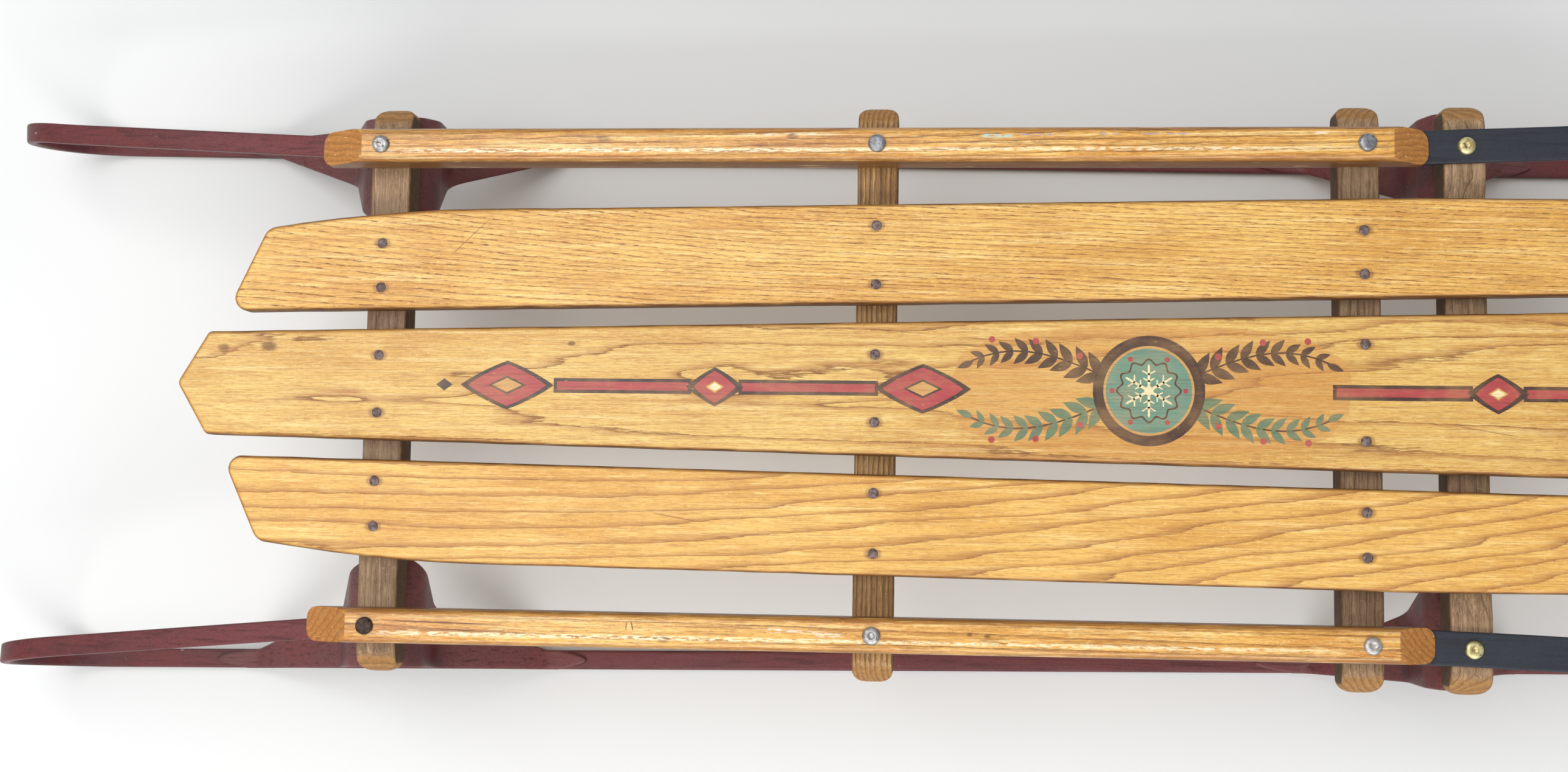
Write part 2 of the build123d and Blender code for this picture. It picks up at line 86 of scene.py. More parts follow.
def operation(name, flipped=False):
    """A method that adds a Math node for a number and what it is combined with."""
    def apply(self, *others):
        return self.tree.math(name, *((*others, self) if flipped else (self, *others)))
    return apply


class Num:
    """A number that varies over a surface; arithmetic on it adds Math nodes."""

    def __init__(self, tree, socket):
        self.tree = tree
        self.socket = socket

    __add__ = __radd__ = operation("ADD")
    __sub__ = operation("SUBTRACT")
    __rsub__ = operation("SUBTRACT", flipped=True)
    __mul__ = __rmul__ = operation("MULTIPLY")
    __truediv__ = operation("DIVIDE")
    abs = operation("ABSOLUTE")
    sqrt = operation("SQRT")
    fract = operation("FRACT")
    most = operation("MAXIMUM")
    least = operation("MINIMUM")

    def rise(self, start, end):
        """0 before start and 1 after end, smooth between; start may be the larger one."""
        flip = start > end
        low, high = (end, start) if flip else (start, end)
        node = self.tree.add("ShaderNodeMapRange", {0: self, 1: low, 2: high},
                             interpolation_type="SMOOTHSTEP")
        result = Num(self.tree, node.outputs[0])
        return 1.0 - result if flip else result


class Tree:
    """Short names for building one material's nodes."""

    def __init__(self, name, rest_attribute=False):
        self.material = bpy.data.materials.new(name)
        self.material.use_nodes = True
        self.nodes = self.material.node_tree.nodes
        self.links = self.material.node_tree.links
        self.nodes.clear()
        if rest_attribute:
            source = self.add("ShaderNodeAttribute", attribute_name="rest_place")
            place = source.outputs["Vector"]
        else:
            place = self.add("ShaderNodeTexCoord").outputs["Object"]
            place = self.add("ShaderNodeVectorMath", {0: place, 1: (1 / MM, 1 / MM, 1 / MM)},
                             operation="MULTIPLY").outputs[0]
        parts = self.add("ShaderNodeSeparateXYZ", {0: place}).outputs
        self.x, self.y, self.z = (Num(self, part) for part in parts)
        geometry = self.add("ShaderNodeNewGeometry")
        facing = self.add("ShaderNodeSeparateXYZ", {0: geometry.outputs["Normal"]}).outputs
        self.nx, self.ny, self.nz = (Num(self, part) for part in facing)

    def add(self, kind, inputs=None, **settings):
        node = self.nodes.new(kind)
        for key, value in settings.items():
            setattr(node, key, value)
        for key, value in (inputs or {}).items():
            self.put(node.inputs[key], value)
        return node

    def put(self, socket, value):
        if isinstance(value, Num):
            self.links.new(value.socket, socket)
        elif isinstance(value, bpy.types.NodeSocket):
            self.links.new(value, socket)
        elif value is not None:
            socket.default_value = value

    def math(self, operation, *values):
        node = self.add("ShaderNodeMath", dict(enumerate(values)), operation=operation)
        return Num(self, node.outputs[0])

    def vector(self, x, y, z):
        return self.add("ShaderNodeCombineXYZ", {0: x, 1: y, 2: z}).outputs[0]

    def noise(self, sizes, detail=2.0, roughness=0.5, shift=0.0):
        """Cloudy noise, 0 to 1, with its grain size along X, Y and Z in millimetres; a pair
        has the same size along Y and Z."""
        place = self.vector(self.x / sizes[0] + shift, self.y / sizes[1] + shift,
                            self.z / sizes[-1] - shift)
        node = self.add("ShaderNodeTexNoise", {"Vector": place, "Scale": 1.0, "Detail": detail,
                                               "Roughness": roughness})
        return Num(self, node.outputs[0])

    def mix(self, share, first, second):
        node = self.add("ShaderNodeMix", data_type="RGBA")
        self.put(node.inputs[0], share)
        self.put(node.inputs[6], first)
        self.put(node.inputs[7], second)
        return node.outputs[2]

    def away_from(self, x, y, stretch):
        """Distance from a place seen from above, counted shorter along X by the stretch."""
        dx = (self.x - x) / stretch
        dy = self.y - y
        return (dx * dx + dy * dy).sqrt()

    def scratch(self, start, end, width):
        """1 along a straight scratch seen from above, fading at its ends."""
        way = Vector(end) - Vector(start)
        length = way.length
        way.normalize()
        dx = self.x - start[0]
        dy = self.y - start[1]
        along = dx * way.x + dy * way.y
        off = (dy * way.x - dx * way.y).abs()
        inside = along.rise(0.0, length * 0.2) * along.rise(length, length * 0.7)
        return off.rise(width, width * 0.4) * inside

    def coats(self, color, *layers):
        """A colour with others laid over it, each a (share, colour) pair."""
        for share, tint in layers:
            color = self.mix(share, color, tint)
        return color

    def edge_wear(self, radius):
        """How straight a surface is, 1 on flat faces and less on edges, and its rounded normal;
        radius in millimetres."""
        rounded = self.add("ShaderNodeBevel", {"Radius": radius * MM}, samples=6)
        plain = self.add("ShaderNodeNewGeometry").outputs["Normal"]
        dot = self.add("ShaderNodeVectorMath", {0: rounded.outputs[0], 1: plain},
                       operation="DOT_PRODUCT").outputs["Value"]
        return Num(self, dot), rounded.outputs[0]

    def finish(self, color, roughness, bump=None, depth=0.1, metallic=0.0, coat=0.0,
               normal=None, specular=0.5):
        shader = self.add("ShaderNodeBsdfPrincipled", {
            "Base Color": color, "Roughness": roughness, "Metallic": metallic,
            "Coat Weight": coat, "Coat Roughness": 0.22, "Specular IOR Level": specular})
        if bump is not None:
            bumped = self.add("ShaderNodeBump", {"Strength": 1.0, "Distance": depth * MM,
                                                 "Height": bump, "Normal": normal})
            self.put(shader.inputs["Normal"], bumped.outputs[0])
        out = self.add("ShaderNodeOutputMaterial")
        self.links.new(shader.outputs[0], out.inputs[0])
        return self.material


def rgb(red, green, blue):
    """A colour as a screen shows it, turned into Blender's linear values."""
    return tuple(((c + 0.055) / 1.055) ** 2.4 if c > 0.04 else c / 12.92
                 for c in (red, green, blue)) + (1.0,)


# Wood

class Wood:
    """How one board was cut from its tree, and its colours; what isn't given is as usual."""

    usual = {
        "wander": 6.0, "bow": 0.0, "fan": 0.0, "fan_from": (0.0, 0.0), "along": "x", "seed": 0.0,
        "bright": (1.0, 0.88, 0.60), "light": (0.93, 0.75, 0.41), "deep": (0.855, 0.64, 0.31),
        "band": (0.64, 0.41, 0.22), "pore": (0.43, 0.25, 0.14), "edge": (0.34, 0.19, 0.07),
        "end": (0.70, 0.46, 0.19), "bands": 0.5, "halo": 1.2, "line": 0.5, "core": 0.6,
        "pores": 0.6, "dash": 7.0, "fine": 0.6, "streaks": 0.5, "mottle": 0.45, "jag": 1.0,
        "gloss": 0.30, "coat": 0.15, "nails": (), "spots": (), "scratches": (), "paint": (),
        "worn": 0.0, "rim": 1.0,
    }

    def __init__(self, **cut):
        values = {**self.usual, **cut}
        tints = ("bright", "light", "deep", "band", "pore", "edge", "end")
        self.colors = [rgb(*values.pop(tint)) for tint in tints]
        self.__dict__.update(values)


def board_marks(t, w, color, fibre, speck):
    """A board's colour with its spots, nail stains, scratches, smears of paint and painted
    highlight streaks on it, and how deep its scratches are, which is None without any."""
    band, pore = w.colors[3:5]
    for x, y, spot, strength in w.spots:
        near = t.away_from(x, y, 1.6) + (speck - 0.5) * spot
        color = t.mix(near.rise(spot * 1.3, spot * 0.5) * strength, color, pore)
    if w.nails:
        nearest = None
        for x, y in w.nails:
            near = t.away_from(x, y, 1.5)
            nearest = near if nearest is None else nearest.least(near)
        color = t.mix(nearest.rise(4.2, 2.6) * (fibre * 0.8 + 0.1), color, pore)
    cut = None
    for start, finish, width, strength in w.scratches:
        one = t.scratch(start, finish, width) * strength
        cut = one if cut is None else cut.most(one)
    if cut:
        color = t.mix(cut, color, t.mix(0.5, band, pore))
    # Paint entries are smears of real paint, and on the rails also streaks of painted highlight
    for start, finish, width, tint, strength in w.paint:
        patchy = t.noise((6.0, 1.0), 3.0, 0.6, 21.0).rise(0.44, 0.54)
        smear_and_highlight = t.scratch(start, finish, width) * patchy
        color = t.mix(smear_and_highlight * strength, color, rgb(*tint))
    return color, cut


def wood_color(t, w):
    """Colour, roughness and height of a board's surface, from growth rings round its pith."""
    bright, light, deep, band, pore, edge, end_tint = w.colors
    length, across = (t.x, t.y) if w.along == "x" else (t.y, t.x)

    def grain_noise(run, cross, detail=2.0, shift=0.0, roughness=0.5):
        sizes = (run, cross, cross) if w.along == "x" else (cross, run, cross)
        return t.noise(sizes, detail, roughness, shift + w.seed)

    wander = grain_noise(210.0, 42.0, 3.0) - 0.5
    tremble = grain_noise(30.0, 8.0, 3.0, 5.0) - 0.5
    u = across - w.pith[0] - length * w.drift[0] - length * length * w.bow
    if w.fan:
        u = u + (across - w.fan_from[1]) * (length - w.fan_from[0]).least(0.0) * w.fan
    fibre = grain_noise(34.0, 0.8, 4.0, 2.0, 0.65)
    u = u + wander * w.wander + tremble * (w.wander * 0.16 + 1.2)
    u = u + (grain_noise(13.0, 0.8, 3.0, 17.0, 0.6) - 0.5) * w.jag
    v = t.z - w.pith[1] - length * w.drift[1] + wander * (w.wander * 0.6)
    distance = (u * u + v * v).sqrt()
    phase = (distance / w.ring + (grain_noise(700.0, 12.0, 1.0, 9.0) - 0.5) * 1.2).fract()
    gap = phase * w.ring / (u.abs() / distance).most(0.15)
    line = gap.rise(0.0, 0.2) * gap.rise(w.line * 1.6, w.line * 0.6)
    halo = gap.rise(0.0, 0.3) * gap.rise(w.halo * 1.8, w.halo * 0.2)

    hair = grain_noise(6.0, 0.5, 3.0, 6.0, 0.6)
    streak = grain_noise(110.0, 3.4, 4.0, 14.0, 0.62)
    patch = grain_noise(22.0, 3.0, 4.0, 12.0, 0.65)
    strong = grain_noise(75.0, 8.0, 2.0, 10.0).rise(0.30, 0.56)
    dashes = grain_noise(w.dash, 2.2, 1.0, 3.0).rise(0.42, 0.56)
    stray = grain_noise(w.dash, 0.5, 1.0, 4.0).rise(0.60, 0.72)
    cloud = t.noise((130.0, 45.0), 3.0, shift=w.seed + 1.0)
    speck = t.noise((2.2, 1.2), 3.0, 0.6, w.seed + 8.0)

    color = t.coats(
        light, (cloud.rise(0.35, 0.68), deep),
        (streak.rise(0.50, 0.30) * w.streaks, bright),
        (streak.rise(0.52, 0.74) * (w.streaks * 0.7), band),
        (patch.rise(0.46, 0.28) * w.mottle, bright),
        (patch.rise(0.54, 0.74) * (w.mottle * 0.8), band),
        (fibre.rise(0.46, 0.68) * w.fine, band),
        (hair.rise(0.48, 0.66) * (w.fine * 0.8), band),
        (hair.rise(0.44, 0.28) * (w.fine * 0.6), bright),
        (speck.rise(0.42, 0.26) * 0.5, bright),
        (halo * (fibre * 0.8 + 0.35) * w.bands, band))
    core = line * (strong * 0.75 + 0.25) * (hair.rise(0.25, 0.62) * 0.7 + 0.3) * w.core
    pore_mask = (line * dashes * (strong * 0.7 + 0.3) * w.pores).most(core)
    pore_mask = pore_mask.most(stray * strong * (w.pores * 0.4))
    color = t.coats(color, (pore_mask, pore), (speck.rise(0.66, 0.76) * 0.3, pore))

    end = (t.nx if w.along == "x" else t.ny).abs().rise(0.30, 0.50)
    fuzz = t.noise((2.6, 1.8), 3.0, 0.6)
    end_color = t.coats(end_tint, (phase.rise(0.75, 0.05) * 0.32, edge),
                        (fuzz.rise(0.35, 0.75) * 0.35, edge),
                        (fuzz.rise(0.45, 0.25) * 0.12, light))
    color = t.mix(end * 0.9, color, end_color)

    # Painted shade: upright side faces are mixed strongly toward the edge colour as shade, and
    # rounded edges darken toward it partly as dirt in the varnish, partly as painted shade
    rim = t.nz.abs().rise(0.97, 0.60) * (1.0 - end)
    broken = t.noise((26.0, 6.0), 3.0, shift=4.0).rise(0.28, 0.62)
    side = t.nz.abs().rise(0.45, 0.15) * (1.0 - end)
    color = t.coats(
        color, (t.nz.abs().rise(1.0, 0.90) * (1.0 - end) * (0.45 * w.rim), end_tint),
        (rim * (broken * 0.6 + 0.4) * (0.9 * w.rim), edge), (side * 0.75, edge))

    color, cut = board_marks(t, w, color, fibre, speck)
    scuff = t.noise((26.0, 1.0, 3.0), 2.0, shift=11.0).rise(0.66, 0.74) * w.worn
    color = t.mix(scuff * 0.5, color, bright)
    roughness = cloud * 0.14 + pore_mask * 0.25 + end * 0.35 + hair * 0.10 + side * 0.3 + w.gloss
    height = fibre * 0.35 + hair * 0.25 - pore_mask * 0.8 - line * 0.15
    if cut:
        height = height - cut
    return color, roughness, height


def wood_material(name, w):
    t = Tree(name)
    color, roughness, height = wood_color(t, w)
    return t.finish(color, roughness, height, 0.12, coat=w.coat, specular=0.3)


# Metal and paint

def enamel(name, base, deep, dust_and_sheen, worn=(0.70, 0.50, 0.52), rest_attribute=False, wear=0.8,
           tread=False):
    """Old enamel on steel: lighter on top with dust and a painted sky sheen, rubbed through along
    its edges, and chipped.
    """
    t = Tree(name, rest_attribute)
    base, deep, dust_and_sheen, worn = (rgb(*tint) for tint in (base, deep, dust_and_sheen, worn))
    cloud = t.noise((60.0, 30.0), 4.0, 0.6)
    fine = t.noise((5.0, 3.0), 3.0, 0.6, 3.0)
    speck = t.noise((1.6, 1.2), 3.0, 0.6, 19.0)
    color = t.mix(cloud.rise(0.3, 0.7), base, deep)
    # Upward faces are mixed toward the lighter top colour: partly dust, partly a painted sheen of
    # the sky
    top = t.nz.rise(0.25, 0.9)
    dust_and_sheen_reach = t.x.rise(-650.0, -450.0) * 0.75 + 0.25
    color = t.mix(top * (cloud * 0.6 + 0.15) * dust_and_sheen_reach, color, dust_and_sheen)
    streaks = t.noise((45.0, 2.2, 4.0), 4.0, 0.65, 15.0)
    color = t.coats(
        color, (streaks.rise(0.50, 0.68) * 0.7, deep),
        (streaks.rise(0.42, 0.26) * 0.4, dust_and_sheen), (speck.rise(0.52, 0.70) * 0.5, deep),
        (speck.rise(0.44, 0.28) * 0.35, dust_and_sheen))
    dot, rounded = t.edge_wear(1.6)
    rim = dot.rise(0.985, 0.84)
    rub = rim * t.noise((26.0, 9.0), 4.0, 0.65, 5.0).rise(0.38, 0.58) * wear
    color = t.coats(color, (rim * 0.35, deep), (rub * 0.85, worn))
    chip = t.noise((5.5, 4.0), 2.0, 0.5, 8.0).rise(0.735, 0.76)
    chip = chip * t.noise((80.0, 40.0), 2.0, 0.5, 2.0).rise(0.5, 0.65)
    color = t.mix(chip * 0.9, color, rgb(0.58, 0.54, 0.52))
    metal = rub * 0.3
    roughness = 0.34 + fine * 0.22 + top * 0.12 + chip * 0.2
    if tread:
        outer = Num(t, t.add("ShaderNodeAttribute", attribute_name="tread").outputs["Fac"])
        bare = outer * (t.z + cloud * 30.0).rise(58.0, 24.0)
        streak = t.noise((40.0, 0.6), 2.0, 0.5, 6.0)
        steel = t.mix(streak, rgb(0.36, 0.35, 0.35), rgb(0.60, 0.58, 0.56))
        steel = t.mix(cloud.rise(0.45, 0.75) * 0.6, steel, rgb(0.36, 0.22, 0.15))
        color = t.mix(bare, color, steel)
        metal = metal.most(bare * 0.75)
    height = fine * 0.4 + cloud * 0.3 - chip * 1.2 - rub * 0.5
    return t.finish(color, roughness, height, 0.15, metallic=metal, normal=rounded)


def worn_metal(name, light, dark, spot, roughness=0.35, grain=2.0, metallic=0.9):
    """Tarnished plated steel with darker blotches."""
    t = Tree(name)
    cloud = t.noise((grain * 3, grain * 3, grain * 3), 4.0, 0.65)
    fine = t.noise((grain * 0.4, grain * 0.4, grain * 0.4), 3.0, 0.6, 3.0)
    color = t.mix(cloud.rise(0.35, 0.65), rgb(*light), rgb(*dark))
    blot = t.noise((grain * 1.4, grain * 1.4, grain * 1.4), 3.0, 0.6, 7.0).rise(0.56, 0.68)
    color = t.mix(blot * 0.8, color, rgb(*spot))
    rough = fine * 0.25 + blot * 0.3 + roughness
    height = fine * 0.6 - blot
    return t.finish(color, rough, height, 0.12, metallic=metallic)


# Mesh building

def make_piece(name, shape, material, body=None, stands_for=(), smooth=35.0):
    """A mesh piece from (points in millimetres, faces), in place, riding on a body."""
    points, faces = shape
    mesh = bpy.data.meshes.new(name)
    mesh.from_pydata([Vector(p) * MM for p in points], [], faces)
    mesh.validate()
    mesh.polygons.foreach_set("use_smooth", [True] * len(mesh.polygons))
    mesh.set_sharp_from_angle(angle=math.radians(smooth))
    for one in material if isinstance(material, (list, tuple)) else [material]:
        mesh.materials.append(one)
    piece = bpy.data.objects.new(name, mesh)
    bpy.context.scene.collection.objects.link(piece)
    if body:
        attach(piece, body)
    if stands_for:
        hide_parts(*stands_for)
    return piece


def solid(rings, first=0, flipped=False):
    """Points and faces of a solid through rings of equally many points, capped on each end;
    first is how many points come before it in its mesh."""
    count = len(rings[0])
    faces = []
    for k in range(len(rings) - 1):
        for i in range(count):
            j = (i + 1) % count
            a, b = first + k * count, first + (k + 1) * count
            faces.append((a + i, a + j, b + j, b + i))
    last = first + (len(rings) - 1) * count
    faces.append(tuple(first + i for i in reversed(range(count))))
    faces.append(tuple(last + i for i in range(count)))
    if flipped:
        faces = [tuple(reversed(face)) for face in faces]
    return [point for ring in rings for point in ring], faces


def joined(solids):
    """Several solids as one, from (rings, label) pairs, and the label of each face."""
    points, faces, labels = [], [], []
    for rings, label in solids:
        more, added = solid(rings, len(points))
        points += more
        faces += added
        labels += [label] * len(added)
    return (points, faces), labels


def plan_outline(corners, step=10.0):
    """Points along a closed outline, counter-clockwise, from corners (x, y, radius)."""
    points = []
    count = len(corners)
    pieces = []
    for i, (x, y, radius) in enumerate(corners):
        corner = Vector((x, y))
        before = Vector(corners[i - 1][:2]) - corner
        after = Vector(corners[(i + 1) % count][:2]) - corner
        turn = math.pi - before.angle(after)
        if radius <= 0 or turn < 0.01:
            pieces.append([corner])
            continue
        back = radius * math.tan(turn / 2)
        start = corner + before.normalized() * back
        middle = corner + (before.normalized() + after.normalized()).normalized() \
            * (radius / math.cos(turn / 2))
        sign = 1 if before.x * after.y - before.y * after.x < 0 else -1
        steps = max(2, int(turn / 0.2))
        arc = []
        for k in range(steps + 1):
            angle = sign * turn * k / steps
            arm = start - middle
            arc.append(middle + Vector((arm.x * math.cos(angle) - arm.y * math.sin(angle),
                                        arm.x * math.sin(angle) + arm.y * math.cos(angle))))
        pieces.append(arc)
    for i, arc in enumerate(pieces):
        points.extend(arc)
        start, end = arc[-1], pieces[(i + 1) % count][0]
        steps = int((end - start).length / step)
        points.extend(start.lerp(end, k / steps) for k in range(1, steps))
    return points


def inset(outline, distance):
    """A closed outline moved inwards, point by point."""
    count = len(outline)
    result = []
    for i, point in enumerate(outline):
        way = outline[(i + 1) % count] - outline[i - 1]
        result.append(point + Vector((-way.y, way.x)).normalized() * distance)
    return result


def quarter(radius, steps=4):
    """(inset, drop) pairs of a rounded edge, from the side up to the face."""
    turns = [math.pi / 2 * k / steps for k in range(steps + 1)]
    return [(radius * (1 - math.cos(a)), radius * (1 - math.sin(a))) for a in turns]


def board_mesh(outline, low, high, edge_low, edge_high, waver=0.0, flat=0.8):
    """Points and faces of a plate with rounded edges."""
    shape = []
    for point in outline:
        push = noise.noise(Vector((point.x / 23.0, point.y / 23.0, low))) * waver
        shape.append(point + Vector((0.0, push)))
    profile = [(edge_low + flat, low)]
    profile += [(d, low + drop) for d, drop in reversed(quarter(edge_low))]
    profile += [(d, high - drop) for d, drop in quarter(edge_high)]
    profile.append((edge_high + flat, high))
    return solid([[(p.x, p.y, z) for p in inset(shape, d)] for d, z in profile])


def bar_section(half, low, high, round_top, round_low, steps=4):
    """Cross-section of a bar as (across, up) points, counter-clockwise from its lower right."""
    section = []
    for centre_side, radius, low_side in ((1, round_low, True), (1, round_top, False),
                                          (-1, round_top, False), (-1, round_low, True)):
        x = centre_side * (half - radius)
        z = low + radius if low_side else high - radius
        start = {(1, True): -90, (1, False): 0, (-1, False): 90, (-1, True): 180}[
            (centre_side, low_side)]
        for k in range(steps + 1):
            angle = math.radians(start + 90 * k / steps)
            section.append((x + radius * math.cos(angle), z + radius * math.sin(angle)))
    return section


def end_stations(low, high, fine, step):
    """Places along a bar, close together within `fine` of either end."""
    near = [low + fine * (k / 14) ** 1.6 for k in range(15)]
    far = [high - fine * (k / 14) ** 1.6 for k in reversed(range(15))]
    steps = max(2, int((far[0] - near[-1]) / step))
    return near + [near[-1] + (far[0] - near[-1]) * k / steps for k in range(1, steps)] + far


def rounded_end(distance, radius):
    """How much a bar's half width shrinks at a distance from its rounded end."""
    if distance >= radius:
        return 0.0
    return radius - math.sqrt(radius ** 2 - (radius - distance) ** 2)


# The deck's three slats

NAIL_OFFSETS = {"rear": (17.2, 58.0, 84.8), "middle": (19.9, 61.2, 96.2),
                "third": (27.9, 68.5, 94.0)}
nails = [(bench_x[name], side * y) for name, row in NAIL_OFFSETS.items()
         for y in row for side in (1, -1)]
SEAM = 40.0             # between the middle slat's nails and the side slats'
centre_nails = [(x, y) for x, y in nails if abs(y) < SEAM]
left_nails = [(x, y) for x, y in nails if y > SEAM]
right_nails = [(x, y) for x, y in nails if y < -SEAM]

centre_wood = Wood(pith=(-3.0, 74.0), drift=(0.004, 0.016), ring=4.2, wander=17.0, seed=0.0,
                   bright=(0.96, 0.86, 0.60), light=(0.89, 0.74, 0.42),
                   deep=(0.815, 0.625, 0.32),
                   bands=0.75, halo=2.6, line=0.9, core=0.75, pores=0.3, dash=9.0, jag=5.0,
                   nails=centre_nails, worn=0.6,
                   spots=[(-442.0, 22.0, 3.2, 0.8), (-470.0, 21.0, 2.4, 0.7),
                          (-258.0, 25.0, 1.6, 0.8)],
                   scratches=[((-30.0, 30.5), (24.0, 27.0), 0.5, 0.7),
                              ((250.0, -18.0), (292.0, -25.0), 0.45, 0.6)])
left_wood = Wood(pith=(420.0, 40.0), drift=(-0.045, 0.0), ring=2.45, wander=4.0, seed=3.0,
                 fan=0.0013, fan_from=(-150.0, 55.0), bands=0.35, halo=0.8, line=0.38, core=0.3,
                 pores=0.9, dash=5.0, jag=1.1, streaks=0.6, nails=left_nails, worn=0.5,
                 scratches=[((-334.0, 76.0), (-306.0, 103.0), 0.45, 0.6),
                            ((40.0, 66.0), (96.0, 63.0), 0.4, 0.6),
                            ((-150.0, 95.0), (-128.0, 90.0), 0.4, 0.6)])
right_wood = Wood(pith=(-300.0, 90.0), drift=(0.11, 0.0), ring=9.0, wander=12.0, seed=7.0,
                  bow=0.00016, bands=0.85, halo=2.1, line=0.5, core=0.55, pores=0.25, dash=12.0,
                  jag=1.6, fine=0.5, streaks=0.4, mottle=0.5, nails=right_nails, worn=0.5,
                  scratches=[((-210.0, -74.0), (-176.0, -80.0), 0.45, 0.6)])


def centre_outline():
    point = 18.5
    halves = {"rear": 31.1, "front": 36.0}
    rear, front = slat_low.x, slat_high.x
    wide_x = 400.0
    half = [(rear, 0.0, 5.0), (rear + point, -halves["rear"], 4.0), (wide_x, slat_low.y, 60.0),
            (front - point, -halves["front"], 4.0), (front, 0.0, 5.0)]
    return half + [(x, -y, r) for x, y, r in reversed(half[1:-1])]


def side_outline(side):
    inner_rear = (side_low.x, side_low.y, 8.0)
    inner_front = (side_high.x, 58.4, 4.0)
    widest_x = 232.0
    taper = (322.0, 112.8, 40.0)
    outer_front = (388.0, 96.0, 5.0)
    shoulder = Vector((-270.0, 106.6))
    rear = Vector((-446.0, 94.4))
    rise = 3.8
    arc = []
    for k in range(1, 8):
        share = k / 8
        point = shoulder.lerp(rear, share)
        arc.append((point.x, point.y + rise * 4 * share * (1 - share), 0.0))
    corners = [inner_rear, inner_front, outer_front, taper, (widest_x, side_high.y, 60.0),
               (shoulder.x, shoulder.y, 0.0), *arc, (rear.x, rear.y, 9.0)]
    if side > 0:
        return corners
    return [(x, -y, r) for x, y, r in reversed(corners)]


def slats():
    low_edge, top_edge = 0.8, 2.6
    table = [
        ("slat_centre", centre_outline(), centre_wood),
        ("slat_left", side_outline(1), left_wood),
        ("slat_right", side_outline(-1), right_wood),
    ]
    for node, corners, wood in table:
        outline = plan_outline(corners)
        board = board_mesh(outline, bench_top, deck_top, low_edge, top_edge, waver=0.25)
        make_piece(f"{node}_board", board, wood_material(node, wood), "root", [node])


# The painted ornament of the middle board

PAINTS = {"red": (0.67, 0.24, 0.28), "black": (0.20, 0.14, 0.17), "brown": (0.28, 0.20, 0.18),
          "tan": (0.80, 0.60, 0.36), "teal": (0.40, 0.56, 0.49), "cream": (0.93, 0.86, 0.68),
          "green": (0.36, 0.48, 0.38), "aged": (0.78, 0.52, 0.26)}
OPACITY = {"aged": 0.42}


def turned_shape(shape, angle, x=0.0, y=0.0):
    """A flat outline turned about its origin, then moved."""
    c, s = math.cos(angle), math.sin(angle)
    return [(x + px * c - py * s, y + px * s + py * c) for px, py in shape]


def disc_shape(x, y, radius, steps=64, ripple=0.0, lobes=12):
    """A round outline whose edge may be scalloped."""
    angles = [2 * math.pi * k / steps for k in range(steps)]
    return [(x + (radius + ripple * math.cos(lobes * a)) * math.cos(a),
             y + (radius + ripple * math.cos(lobes * a)) * math.sin(a)) for a in angles]


def leaf_shape(length, width, steps=10):
    """A pointed leaf along +X from its origin."""
    side = [(length * k / steps, width / 2 * math.sin(math.pi * (k / steps) ** 0.8))
            for k in range(steps + 1)]
    return side + [(x, -y) for x, y in reversed(side[1:-1])]


def lozenge_shape(half_long, half_wide, bulge=0.0, steps=8):
    """A lozenge with slightly curved sides."""
    shape = []
    for a, b in (((1, 0), (0, 1)), ((0, 1), (-1, 0)), ((-1, 0), (0, -1)), ((0, -1), (1, 0))):
        for k in range(steps):
            share = k / steps
            push = 1 + bulge * 4 * share * (1 - share)
            shape.append((half_long * (a[0] + (b[0] - a[0]) * share) * push,
                          half_wide * (a[1] + (b[1] - a[1]) * share) * push))
    return shape


def sprig(badge, way, side, paint, lay):
    """A curved twig from the badge outwards, with a pair of leaves at each joint."""
    count = 9
    spine = []
    for k in range(count + 1):
        share = k / count
        spine.append(Vector((badge + way * (27.0 + 76.0 * share),
                             side * (9.0 + 17.0 * math.sin(1.9 * share) - 9.0 * share ** 3))))
    for k in range(count):
        here, after = spine[k], spine[k + 1]
        run = after - here
        heading = math.atan2(run.y, run.x)
        stem = [(0.0, -0.55), (run.length, -0.45), (run.length, 0.45), (0.0, 0.55)]
        lay(turned_shape(stem, heading, here.x, here.y), "black", 4)
        size = 15.5 - 0.85 * k
        for turn in (1, -1):
            leaf = leaf_shape(size, size * 0.40)
            lean = turn * math.radians(38.0 + 5.0 * (k % 2))
            lay(turned_shape(leaf, heading + lean, here.x, here.y), paint, 5)
        if k % 3 == 1:
            spot = here + Vector((way * 4.0, side * 7.5))
            lay(disc_shape(spot.x, spot.y, 1.9, 16), "red", 6)
    tip = spine[-1]
    lay(turned_shape(leaf_shape(10.0, 4.0), heading, tip.x - way * 2.0, tip.y), paint, 5)


def patch_shape(x, half_long, half_wide, steps=160):
    """The uneven outline of a patch of old varnish."""
    shape = []
    for k in range(steps):
        angle = 2 * math.pi * k / steps
        c, s = math.cos(angle), math.sin(angle)
        push = 1.0 + 0.05 * noise.noise(Vector((c * 3.0, s * 3.0, 2.0)))
        shape.append((x + math.copysign(abs(c) ** 0.7, c) * half_long * push,
                      math.copysign(abs(s) ** 0.7, s) * half_wide * push))
    return shape


